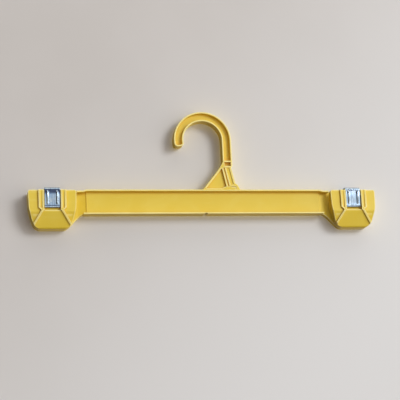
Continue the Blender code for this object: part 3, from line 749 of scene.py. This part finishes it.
# %% [markdown]
# ## The loose jaws
#
# A loose jaw is a shield with a hollow back. On its front stand two upright ribs beside the
# spring's channel, two thin slanted ribs that run down to the lower corners, and a smooth raised
# panel between them. Each level of the front is made as a whole shield with its own rounded rim,
# then trimmed to its region and welded on, so that ribs and panel run out cleanly at the rim.

# %% Levels of the jaw's front
CREASE = -0.0802
RIB_FRONT = -0.0098
PANEL_FRONT = RIB_FRONT + 0.0012
PAD_FRONT = RIB_FRONT + 0.0015
PAD_LEAN = 0.0006
FOOT_SETBACK = 0.0052
FOOT_BEVEL = 0.0008
FOOT_START = 0.3
RIM_ROUND = 0.0010
CREASE_ROUND = 0.0006
JAW_BACK = 0.0009
RAISED_BACK = -0.0015
WALL = 0.0018
CHANNEL_FLOOR = -0.0067
DIAGONAL_WIDTH = 0.0016
DIAGONAL_HEAD = (0.0082, -0.0793)
DIAGONAL_FOOT = (0.0154, -0.0906)
DIAGONAL_END = (0.0160, -0.0915)
RIB_TOE = (0.0086, -0.0796)
RIB_BEND = -0.0768
SLOPE_TOP = -0.00313
SLOPE_START = (0.00026, -0.07017)
FRONT_TILT = -0.55
WALL_TILT = 0.3
CREASE_BEND = 0.2


def saw_between(item, first, second, front=True):
    """Saws off what lies in front of, or behind, a slanted line of the side view."""
    along = Vector((0, second[0] - first[0], second[1] - first[1]))
    outwards = along.cross(X_AXIS).normalized()
    if (outwards.y > 0) == front:
        outwards = -outwards
    return saw(item, Vector((0, first[0], first[1])), outwards)


def is_rim(edge):
    """An edge between the front and a side wall."""
    if len(edge.link_faces) != 2:
        return False
    ways = sorted(face.normal.y for face in edge.link_faces)
    return ways[0] < FRONT_TILT and abs(ways[1]) < WALL_TILT


def is_crease(edge):
    """An edge between two faces of the front."""
    fronts = [face for face in edge.link_faces if face.normal.y < FRONT_TILT]
    return len(fronts) == 2 and sharp(edge, CREASE_BEND)


def shield_at(name, front, back, margin=0.0):
    """The whole shield at one level of the front, with a rounded foot and rim."""
    outline = shield() if margin == 0 else drawn_in(shield(), margin)
    foot = front + FOOT_SETBACK
    bevel = (foot - FOOT_BEVEL * FOOT_START, CLIP_BOTTOM + FOOT_BEVEL)
    item = plate(name, shifted(outline, CLIP_CENTRE), front, back)
    saw_between(item, (front + PAD_LEAN, CLIP_TOP), (front, CREASE))
    saw_between(item, (front, CREASE), (foot, CLIP_BOTTOM))
    saw_between(item, bevel, (foot + FOOT_BEVEL, CLIP_BOTTOM))
    ease(item, CREASE_ROUND, segments=3, test=is_crease)
    return ease(item, RIM_ROUND, segments=4, test=is_rim)


# %% Regions of the jaw's front
FAR_FRONT = -0.0150
REGION_BACK = -0.0005
REGION_SHIFT = 0.0001
RIB_OVERLAP = 0.0004
RIB_UNDER_CHANNEL = 0.0003
PANEL_FOOT_HALF = 0.0135


def band(start, end, width):
    """A straight band between two points of the front view."""
    start, end = Vector(start), Vector(end)
    along = (end - start).normalized()
    side = Vector((-along.y, along.x)) * width / 2
    return [tuple(point) for point in (start - side, end - side, end + side, start + side)]


def both_sides(outline):
    """An outline on the right half of the clip and its mirror image on the left half."""
    return [shifted(outline, CLIP_CENTRE), shifted(flipped(outline), CLIP_CENTRE)]


def rib_region():
    """Where the upright and the slanted ribs stand, in the front view."""
    inner, outer, high = CHANNEL_HALF - RIB_OVERLAP, CHANNEL_HALF + RIB_WIDTH, CLIP_TOP + 2 * SPARE
    upright = [
        (inner, CHANNEL_FOOT - RIB_UNDER_CHANNEL), RIB_TOE, (outer, RIB_BEND), (outer, high),
        (inner, high),
    ]
    slanted = band(DIAGONAL_HEAD, DIAGONAL_END, DIAGONAL_WIDTH)
    parts = []
    for outline, shift in ((upright, 0), (slanted, REGION_SHIFT)):
        for right_or_left in both_sides(outline):
            parts.append(plate("rib_region", right_or_left, FAR_FRONT + shift, REGION_BACK + shift))
    return weld(parts[0], *parts[1:])


def panel_region():
    """Where the raised panel stands between the slanted ribs."""
    right = [(PANEL_FOOT_HALF, CLIP_BOTTOM - SPARE), DIAGONAL_FOOT, (RIB_TOE[0], CHANNEL_FOOT)]
    outline = shifted(right + flipped(right), CLIP_CENTRE)
    return plate("panel_region", outline, FAR_FRONT, REGION_BACK)


# %% Back of the jaw
BEHIND_JAW = 0.005
BEHIND_CLOTH = 0.004
CLOTH_ROOM = 0.0012
PAD_HOLLOW_REACH = 0.0177
LIP_TOP = CLIP_BOTTOM + LIP_HEIGHT
ACROSS_CLIP = (CLIP_CENTRE - CLIP_HALF_WIDTH - SPARE, CLIP_CENTRE + CLIP_HALF_WIDTH + SPARE)


def jaw_hollow():
    """The space behind the wall, deeper behind the finger pads."""
    high = CLIP_TOP + SPARE
    floor = CHANNEL_FLOOR + WALL
    face = PAD_FRONT + WALL
    foot_face = face + FOOT_SETBACK * (CREASE - LIP_TOP) / (CREASE - CLIP_BOTTOM)
    inside = drawn_in(shield(square=True), SKIRT)
    top = max(up for across, up in inside)
    inside = [(across, high if up == top else up) for across, up in inside]
    hollow = plate("jaw_hollow", shifted(inside, CLIP_CENTRE), face, JAW_BACK + 3 * SPARE)
    low_wall = CHANNEL_FOOT - WALL
    side = [
        (floor, low_wall), (face - HAIR, low_wall - SPARE), (foot_face, LIP_TOP),
        (BEHIND_JAW, LIP_TOP), (BEHIND_JAW, high + SPARE), (floor, high + SPARE),
    ]
    trimmed(hollow, plate("side_of_hollow", side, *ACROSS_CLIP, view="side"))
    pads = []
    for sign in (1, -1):
        reaches = (CHANNEL_HALF + SKIRT, PAD_HOLLOW_REACH)
        left, right = sorted(CLIP_CENTRE + sign * reach for reach in reaches)
        high_corner = (right, floor + SPARE, high + SPARE / 2)
        pads.append(block("pad_hollow", (left, face, CREASE), high_corner))
    return [hollow] + pads


def cloth_room():
    """The gap above the lip, where the folded cloth lies."""
    inner = JAW_BACK - CLOTH_ROOM
    side = [
        (JAW_BACK + SPARE, LIP_TOP - SPARE), (inner, LIP_TOP + CLOTH_ROOM), (inner, PIVOT.z),
        (BEHIND_CLOTH, PIVOT.z), (BEHIND_CLOTH, LIP_TOP - SPARE),
    ]
    return plate("cloth_room", side, *ACROSS_CLIP, view="side")


def nose():
    """The cross rib whose rounded edge rocks on the fixed jaw."""
    reach = CLIP_HALF_WIDTH - SKIRT / 2
    root = CHANNEL_FLOOR + WALL / 2
    tip = arc((PIVOT.y, PIVOT.z), NOSE_RADIUS, -90, 90, 14)
    side = [(root, PIVOT.z + NOSE_RADIUS), (root, PIVOT.z - NOSE_RADIUS)] + tip
    return plate("nose", side, CLIP_CENTRE - reach, CLIP_CENTRE + reach, view="side")


# %% Loose jaws
GROOVE_HALF = 0.00085
GROOVE_RISE = 0.0016
GROOVE_DEPTH = 0.0006
GROOVE_ROUND = 0.0002
RIB_EDGE_ROUND = 0.0003
LONG_EDGE = 0.004


def channel_tools():
    """The channel for the spring, and the groove down each upright rib."""
    left, right = CLIP_CENTRE - CHANNEL_HALF, CLIP_CENTRE + CHANNEL_HALF
    high = CLIP_TOP + 2 * SPARE
    made = [block("channel", (left, FAR_FRONT, CHANNEL_FOOT), (right, CHANNEL_FLOOR, high))]
    floor = RIB_FRONT + PAD_LEAN / 2 + GROOVE_DEPTH
    for sign in (1, -1):
        centre = CLIP_CENTRE + sign * (CHANNEL_HALF + RIB_WIDTH / 2)
        low = (centre - GROOVE_HALF, FAR_FRONT, CHANNEL_FOOT + GROOVE_RISE)
        groove = block("rib_groove", low, (centre + GROOVE_HALF, floor, high))
        made.append(ease(groove, GROOVE_ROUND, segments=2))
    return made


def is_rib_edge(edge):
    """A long edge of a rib, between its front and one of its upright walls."""
    along = edge.verts[0].co - edge.verts[1].co
    return is_rim(edge) and sharp(edge, CORNER) and along.length > LONG_EDGE


def loose_jaw():
    """The right loose jaw: its levels are welded, then the back and the channel are cut."""
    jaw = shield_at("right_loose_jaw", PAD_FRONT, JAW_BACK)
    ribs = trimmed(shield_at("ribs", RIB_FRONT, RAISED_BACK, HAIR), rib_region())
    ease(ribs, RIB_EDGE_ROUND, segments=2, test=is_rib_edge)
    panel = trimmed(shield_at("panel", PANEL_FRONT, RAISED_BACK + HAIR, 2 * HAIR), panel_region())
    weld(jaw, ribs, panel)
    saw_between(jaw, SLOPE_START, (SLOPE_TOP, CLIP_TOP), front=False)
    carve(jaw, *jaw_hollow(), cloth_room())
    weld(jaw, nose())
    gaps = tooth_gaps(CLIP_HALF_WIDTH, JAW_BACK - TOOTH_DEPTH, JAW_BACK + SPARE)
    return carve(jaw, *channel_tools(), *gaps)


right_jaw = loose_jaw()
left_jaw = mirror_copy(right_jaw, "left_loose_jaw")
for piece, side in ((right_jaw, "right"), (left_jaw, "left")):
    smooth_shade(piece)
    report(piece)
    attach(piece, side + "_front_jaw")
    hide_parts(side + "_jaw")

# %% [markdown]
# ## The springs
#
# A strip of spring steel is bent into a U over the tops of both jaws. The front leg leans in a
# little below the bend, two beads are stamped into it, and both legs end in a flared lip. The
# strip is drawn as a side view with its real thickness, scored into a fine grid, and the beads
# are pulled out of it with a soft falloff, which is close to what the press does.

# %% Spring strip
SPRING_HALF = 0.0065
STEEL = 0.0006
SPRING_TOP = CLIP_TOP + 0.0024
SPRING_FOOT = CLIP_TOP - 0.0153
SPRING_HEEL = SPRING_FOOT + 0.0019
BEND = 0.0020
SHOULDER_IN = 0.0004
SHOULDER_DROP = 0.0028
BOW = 0.0005
FLARE = 0.0014
BEAD_OFFSET = 0.0039
BEAD_RISE = 0.00050
BEAD_INSET = 0.0015
BEAD_LINE = 0.00018
BEAD_SPREAD = 0.0008
STEEL_ROUND = 0.00012
SPRING_ROOM = 0.0003
LEG_FRONT = CHANNEL_FLOOR - SPRING_ROOM - STEEL / 2
LEG_BACK = MOUTH + REAR_PLATE + SPRING_ROOM + STEEL / 2
FRONT_LEG_ENDS = LEG_FRONT + 0.0015
LINE_STEPS = 6
BEND_STEPS = 12
COLUMNS = 48
ROWS = 40


def spring_line():
    """The middle of the strip, from the back leg's foot over the top to the front leg's foot."""
    top = SPRING_TOP - STEEL / 2
    waist = (top + SPRING_HEEL) / 2
    back, front = LEG_BACK + BOW, LEG_FRONT - BOW
    neck = front + SHOULDER_IN
    back_leg = [
        (LEG_BACK + FLARE, SPRING_FOOT), (LEG_BACK, SPRING_HEEL), (back, waist), (back, top - BEND),
    ]
    front_leg = [
        (neck, top - BEND), (front, top - BEND - SHOULDER_DROP), (front, waist),
        (LEG_FRONT, SPRING_HEEL), (LEG_FRONT - FLARE, SPRING_FOOT),
    ]
    line = eased(back_leg, LINE_STEPS)[:-1]
    line += arc((back - BEND, top - BEND), BEND, 0, 90, BEND_STEPS)
    line += arc((neck + BEND, top - BEND), BEND, 90, 180, BEND_STEPS)
    return line + eased(front_leg, LINE_STEPS)[1:]


def with_thickness(line, thickness):
    """The outline of a strip of even thickness along a line."""
    left, right = [], []
    for index, point in enumerate(line):
        here = Vector(point)
        before = Vector(line[max(index - 1, 0)])
        after = Vector(line[min(index + 1, len(line) - 1)])
        along = (after - before).normalized()
        side = Vector((-along.y, along.x)) * thickness / 2
        left.append(tuple(here + side))
        right.append(tuple(here - side))
    return right + list(reversed(left))


def on_bead(corner, place):
    """Whether a corner lies on the line of a bead on the front leg."""
    low, high = SPRING_HEEL + BEAD_INSET, SPRING_TOP - BEND - BEAD_INSET
    on_leg = corner.co.y < FRONT_LEG_ENDS and low < corner.co.z < high
    return on_leg and abs(corner.co.x - place) < BEAD_LINE


def stamp(item, test, rise, reach):
    """Pulls the corners that pass a test forwards, and their neighbours less and less."""
    choose(item, "VERT", test)
    bpy.ops.transform.translate(value=(0, -rise, 0), use_proportional_edit=True,
                                proportional_edit_falloff="SMOOTH", proportional_size=reach)
    put_down()


def spring_clip():
    """The right spring, with its stamped front leg."""
    left, width = CLIP_CENTRE - SPRING_HALF, 2 * SPRING_HALF
    height = SPRING_TOP - BEND - SPRING_HEEL
    outline = with_thickness(spring_line(), STEEL)
    item = plate("right_spring_clip", outline, left, CLIP_CENTRE + SPRING_HALF, view="side")
    ease(item, STEEL_ROUND, segments=2, test=lambda edge: sharp(edge, SQUARE))
    score(item, X_AXIS, [left + width * step / COLUMNS for step in range(1, COLUMNS)])
    score(item, Z_AXIS, [SPRING_HEEL + height * step / ROWS for step in range(1, ROWS)],
          test=lambda face: middle(face).y < FRONT_LEG_ENDS)
    for sign in (1, -1):
        place = CLIP_CENTRE + sign * BEAD_OFFSET
        stamp(item, lambda corner: on_bead(corner, place), BEAD_RISE, BEAD_SPREAD)
    return item


right_spring = spring_clip()
left_spring = mirror_copy(right_spring, "left_spring_clip")
for piece, side, sign in ((right_spring, "right", 1), (left_spring, "left", -1)):
    smooth_shade(piece)
    report(piece)
    side + "_front_jaw"
    LEG_BACK - 0.001
    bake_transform(piece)
    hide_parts(side + "_spring")

# %% [markdown]
# ## Surfaces
#
# The hanger is coloured right through, so its surface has no paint to chip. What shows is the
# skin that the mould leaves: a soft sheen with a very fine grain, faint flow clouds in the
# colour, and paler edges where hands and rods have rubbed. The paler edges also carry a painted
# highlight, and the corners get a painted shade in a deeper orange. Such a finish could be painted
# on a picture, but a picture has a fixed size and shows seams, so here it is worked out from the
# place of each point. Edges and corners are found with an occlusion node: it looks a short way
# into the plastic for an outer edge, and a short way out of it for a corner. The sums are written
# as plain Python: the class below wraps a socket, and each operator adds one Math node.

# %% Shader sums
class Wire:
    """A socket whose number can be used in sums."""

    def __init__(self, recipe, socket):
        self.recipe = recipe
        self.socket = socket

    def sum(self, operation, first, second):
        made = self.recipe.node("ShaderNodeMath", {"operation": operation}, {0: first, 1: second})
        return Wire(self.recipe, made.outputs[0])

    def __add__(self, other):
        return self.sum("ADD", self, other)

    def __radd__(self, other):
        return self.sum("ADD", other, self)

    def __sub__(self, other):
        return self.sum("SUBTRACT", self, other)

    def __rsub__(self, other):
        return self.sum("SUBTRACT", other, self)

    def __mul__(self, other):
        return self.sum("MULTIPLY", self, other)

    def __rmul__(self, other):
        return self.sum("MULTIPLY", other, self)


class Recipe:
    """The nodes of one material or of the sky; a single method adds every kind of node."""

    def __init__(self, tree):
        self.tree = tree

    def node(self, kind, settings=None, sockets=None):
        made = self.tree.nodes.new(kind)
        for name, value in (settings or {}).items():
            if name == "stops":
                self.set_stops(made.color_ramp, value)
            else:
                setattr(made, name, value)
        for name, value in (sockets or {}).items():
            self.feed(made.inputs[name], value)
        return made

    def set_stops(self, ramp, stops):
        for place, colour in stops[2:]:
            ramp.elements.new(place)
        for element, (place, colour) in zip(ramp.elements, stops):
            element.position, element.color = place, (*colour, 1.0)

    def feed(self, socket, value):
        if isinstance(value, Wire):
            self.tree.links.new(value.socket, socket)
        else:
            socket.default_value = value

    def wire(self, node, output=0):
        return Wire(self, node.outputs[output])

    def place(self, stretch=(1, 1, 1)):
        """Object coordinates, stretched along the axes."""
        spot = self.wire(self.node("ShaderNodeTexCoord"), "Object")
        return self.wire(self.node("ShaderNodeMapping", None, {"Vector": spot, "Scale": stretch}))

    def noise(self, scale, detail=2.0, stretch=(1, 1, 1), twist=0.0):
        sockets = {"Vector": self.place(stretch), "Scale": scale, "Detail": detail,
                   "Distortion": twist}
        return self.wire(self.node("ShaderNodeTexNoise", None, sockets))

    def between(self, value, low, high):
        """Zero below low and one above high, with a soft change between them."""
        settings = {"interpolation_type": "SMOOTHSTEP"}
        sockets = {"Value": value, "From Min": low, "From Max": high}
        return self.wire(self.node("ShaderNodeMapRange", settings, sockets))

    def mix(self, share, first, second):
        """A colour between two colours."""
        made = self.node("ShaderNodeMix", {"data_type": "RGBA"}, {0: share, 6: first, 7: second})
        return self.wire(made, 2)

    def edges(self, reach, inside):
        """How close a point is to an outer edge (inside) or to an inner corner (outside)."""
        settings = {"inside": inside, "only_local": True, "samples": 12}
        made = self.node("ShaderNodeAmbientOcclusion", settings, {"Distance": reach})
        return 1 - self.wire(made, "AO")

    def bump(self, height, strength, distance):
        sockets = {"Height": height, "Strength": strength, "Distance": distance}
        return self.wire(self.node("ShaderNodeBump", None, sockets), "Normal")


def new_finish(name):
    """A material with its main shader and an empty recipe."""
    material = bpy.data.materials.new(name)
    material.use_nodes = True
    return material, Recipe(material.node_tree), material.node_tree.nodes["Principled BSDF"]


# %% Yellow plastic
YELLOW = (0.80, 0.582, 0.036, 1.0)
YELLOW_CLOUD = (0.83, 0.635, 0.075, 1.0)
# The pale edge colour stands partly for wear and partly for a painted highlight.
YELLOW_WORN_AND_HIGHLIT = (1.0, 0.89, 0.36, 1.0)
# The deep orange is a painted shade for the inner corners.
YELLOW_CORNER_SHADE = (0.66, 0.31, 0.006, 1.0)
WORN_AND_HIGHLIT_REACH = 0.0013
CORNER_SHADE_REACH = 0.0045


def yellow_finish(name):
    """Moulded plastic: flow clouds, edges paled by wear and painted highlight, painted shade in the
    corners, fine scuffs and a fine grain.
    """
    material, recipe, shader = new_finish(name)
    clouds = recipe.between(recipe.noise(38.0, 3.0, twist=0.8), 0.35, 0.70)
    specks = recipe.between(recipe.noise(900.0, 2.0), 0.30, 0.75)
    # Outer edges are paled partly by wear and partly by a painted highlight.
    worn_and_highlit = recipe.between(recipe.edges(WORN_AND_HIGHLIT_REACH, inside=True), 0.08, 0.38)
    worn_and_highlit = worn_and_highlit * (0.80 + 0.20 * clouds)
    # Inner corners get a painted shade in a deeper orange.
    corner = recipe.between(recipe.edges(CORNER_SHADE_REACH, inside=False), 0.10, 0.80)
    long_noise = recipe.noise(160.0, 4.0, stretch=(0.18, 1.0, 2.4), twist=0.4)
    scuffs = recipe.between(long_noise, 0.60, 0.72)
    colour = recipe.mix(clouds * 0.55 + specks * 0.12, YELLOW, YELLOW_CLOUD)
    colour = recipe.mix(corner * 0.65, colour, YELLOW_CORNER_SHADE)
    colour = recipe.mix(worn_and_highlit * 0.95 + scuffs * 0.10, colour, YELLOW_WORN_AND_HIGHLIT)
    grain = recipe.noise(2600.0, 3.0) + 0.6 * recipe.noise(700.0, 2.0)
    recipe.feed(shader.inputs["Base Color"], colour)
    recipe.feed(shader.inputs["Roughness"], 0.50 + 0.07 * specks + 0.14 * scuffs + 0.06 * worn_and_highlit)
    recipe.feed(shader.inputs["Normal"], recipe.bump(grain - 0.5 * scuffs, 0.20, 0.00004))
    return material


plastic = yellow_finish("yellow_plastic")
for piece in (hanger, right_jaw, left_jaw):
    piece.data.materials.clear()
    piece.data.materials.append(plastic)
print("plastic nodes:", len(plastic.node_tree.nodes))

# %% [markdown]
# ## Spring steel
#
# The strip is rolled, stamped and zinc plated. Rolling leaves fine streaks along the strip, and
# the plating turns bluish and cloudy. A mirror-like metal shows little colour of its own, so
# most of its look comes from the roughness, which is broken up along the streaks.

# %% Spring steel
STEEL_PALE = (0.40, 0.47, 0.52, 1.0)
STEEL_BLUE = (0.27, 0.39, 0.53, 1.0)
STEEL_DULL = (0.17, 0.23, 0.31, 1.0)


def steel_finish(name):
    """Zinc-plated spring steel with rolling streaks and a cloudy bluish tint."""
    material, recipe, shader = new_finish(name)
    streaks = recipe.noise(1500.0, 3.0, stretch=(1.0, 0.35, 0.05))
    clouds = recipe.between(recipe.noise(260.0, 3.0, twist=1.0), 0.35, 0.68)
    colour = recipe.mix(clouds * 0.6, STEEL_PALE, STEEL_BLUE)
    colour = recipe.mix(recipe.between(streaks, 0.48, 0.66) * 0.7, colour, STEEL_DULL)
    recipe.feed(shader.inputs["Base Color"], colour)
    recipe.feed(shader.inputs["Roughness"], 0.12 + 0.12 * streaks + 0.04 * clouds)
    recipe.feed(shader.inputs["Normal"], recipe.bump(streaks, 0.25, 0.00003))
    shader.inputs["Metallic"].default_value = 1.0
    return material


steel = steel_finish("spring_steel")
for piece in (right_spring, left_spring):
    piece.data.materials.clear()
    piece.data.materials.append(steel)
print("steel nodes:", len(steel.node_tree.nodes))

# %% [markdown]
# ## Light
#
# One soft lamp stands in front, to the right and a little above, so the edges that face right
# and up shine and the walls that face left and down go deep. A weaker, larger lamp behind keeps
# the back from going dull. The sky does the rest and keeps every shadow soft: it is bright at
# eye level and overhead, with a dark band between and dark ground, and dimmer on the left.
# Steel mirrors the sky, so those bands are what draws the bend of the springs.

# %% Lamps
def area_lamp(name, spot, target, size, watts):
    """A square soft lamp that points at a target."""
    bpy.ops.object.light_add(type="AREA", location=spot)
    lamp = bpy.context.object
    lamp.name = name
    lamp.data.size = size
    lamp.data.energy = watts
    lamp.rotation_euler = (Vector(target) - Vector(spot)).to_track_quat("-Z", "Y").to_euler()
    return lamp


area_lamp("key_lamp", (1.66, -2.20, 0.83), VIEW_CENTRE, 1.10, 38.0)
area_lamp("back_lamp", (1.00, 2.30, 1.00), VIEW_CENTRE, 1.60, 18.0)
print("a soft key lamp in front and a weaker lamp behind")

# %% Sky
SKY_STOPS = [
    (0.00, (0.05, 0.04, 0.02)), (0.18, (0.24, 0.18, 0.12)), (0.36, (1.60, 1.44, 1.24)),
    (0.50, (1.34, 1.34, 1.34)), (0.64, (0.96, 1.16, 1.42)), (0.69, (0.08, 0.11, 0.24)),
    (0.84, (0.12, 0.16, 0.28)), (0.90, (1.80, 1.75, 1.66)), (1.00, (2.10, 2.04, 1.94)),
]
LEFT_DIM = (0.12, 0.09, 0.06, 1.0)
DIM_FROM, DIM_TO = -0.7, 0.4


def make_sky():
    """A sky in soft bands that is dimmer on the left."""
    world = bpy.data.worlds.new("studio")
    bpy.context.scene.world = world
    world.use_nodes = True
    recipe = Recipe(world.node_tree)
    way = recipe.wire(recipe.node("ShaderNodeTexCoord"), "Generated")
    parts = recipe.node("ShaderNodeSeparateXYZ", None, {0: way})
    up, across = recipe.wire(parts, "Z"), recipe.wire(parts, "X")
    height = up * 0.5 + 0.5
    tone = recipe.wire(recipe.node("ShaderNodeValToRGB", {"stops": SKY_STOPS}, {0: height}))
    tone = recipe.mix(recipe.between(across, DIM_FROM, DIM_TO), LEFT_DIM, tone)
    recipe.feed(world.node_tree.nodes["Background"].inputs["Color"], tone)
    return world


print("sky nodes:", len(make_sky().node_tree.nodes))

# %% [markdown]
# ## The surface it lies on
#
# The hanger lies on a pale table, which here is a plane just behind it, with a painted pool of
# light that makes it brighter towards its lower right. The plane is shown only to the camera and
# in reflections, and only from its front, so it catches the shadow without darkening the back of
# the hanger or hiding it in the views from behind.

# %% Table
TABLE = (0.63, 0.60, 0.575, 1.0)
TABLE_SHADE = (0.58, 0.55, 0.52, 1.0)
TABLE_PAINTED_LIGHT = (0.76, 0.755, 0.75, 1.0)
TABLE_SIZE = 3.0
TABLE_ROUGHNESS = 0.75
PAINTED_LIGHT_FROM, PAINTED_LIGHT_TO = -0.20, 0.36
table_level = cad_box[1][1] + 0.0002

bpy.ops.mesh.primitive_plane_add(size=TABLE_SIZE, location=(0, table_level, 0),
                                 rotation=(math.pi / 2, 0, 0))
table = bpy.context.object
table.name = "table"
pale, recipe, shader = new_finish("pale_table")
light_path = recipe.node("ShaderNodeLightPath")
front = 1 - recipe.wire(recipe.node("ShaderNodeNewGeometry"), "Backfacing")
seen = recipe.wire(light_path, "Is Camera Ray") + recipe.wire(light_path, "Is Glossy Ray")
seen = seen + recipe.wire(light_path, "Is Transmission Ray")
tone = recipe.between(recipe.noise(9.0, 3.0), 0.30, 0.70)
place = recipe.node("ShaderNodeSeparateXYZ", None, {0: recipe.place()})
# A painted pool of light: the table is painted brighter towards its lower right.
painted_light = recipe.between(recipe.wire(place, "X") - recipe.wire(place, "Y"), PAINTED_LIGHT_FROM, PAINTED_LIGHT_TO)
colour = recipe.mix(tone * 0.5, TABLE, TABLE_SHADE)
recipe.feed(shader.inputs["Base Color"], recipe.mix(painted_light, colour, TABLE_PAINTED_LIGHT))
shader.inputs["Roughness"].default_value = TABLE_ROUGHNESS
clear = recipe.wire(recipe.node("ShaderNodeBsdfTransparent"))
either = {0: seen * front, 1: clear, 2: recipe.wire(shader)}
shown = recipe.wire(recipe.node("ShaderNodeMixShader", None, either))
recipe.feed(pale.node_tree.nodes["Material Output"].inputs["Surface"], shown)
table.data.materials.append(pale)
print("the table is", round(table_level * 1000, 1), "mm behind the hook's middle")
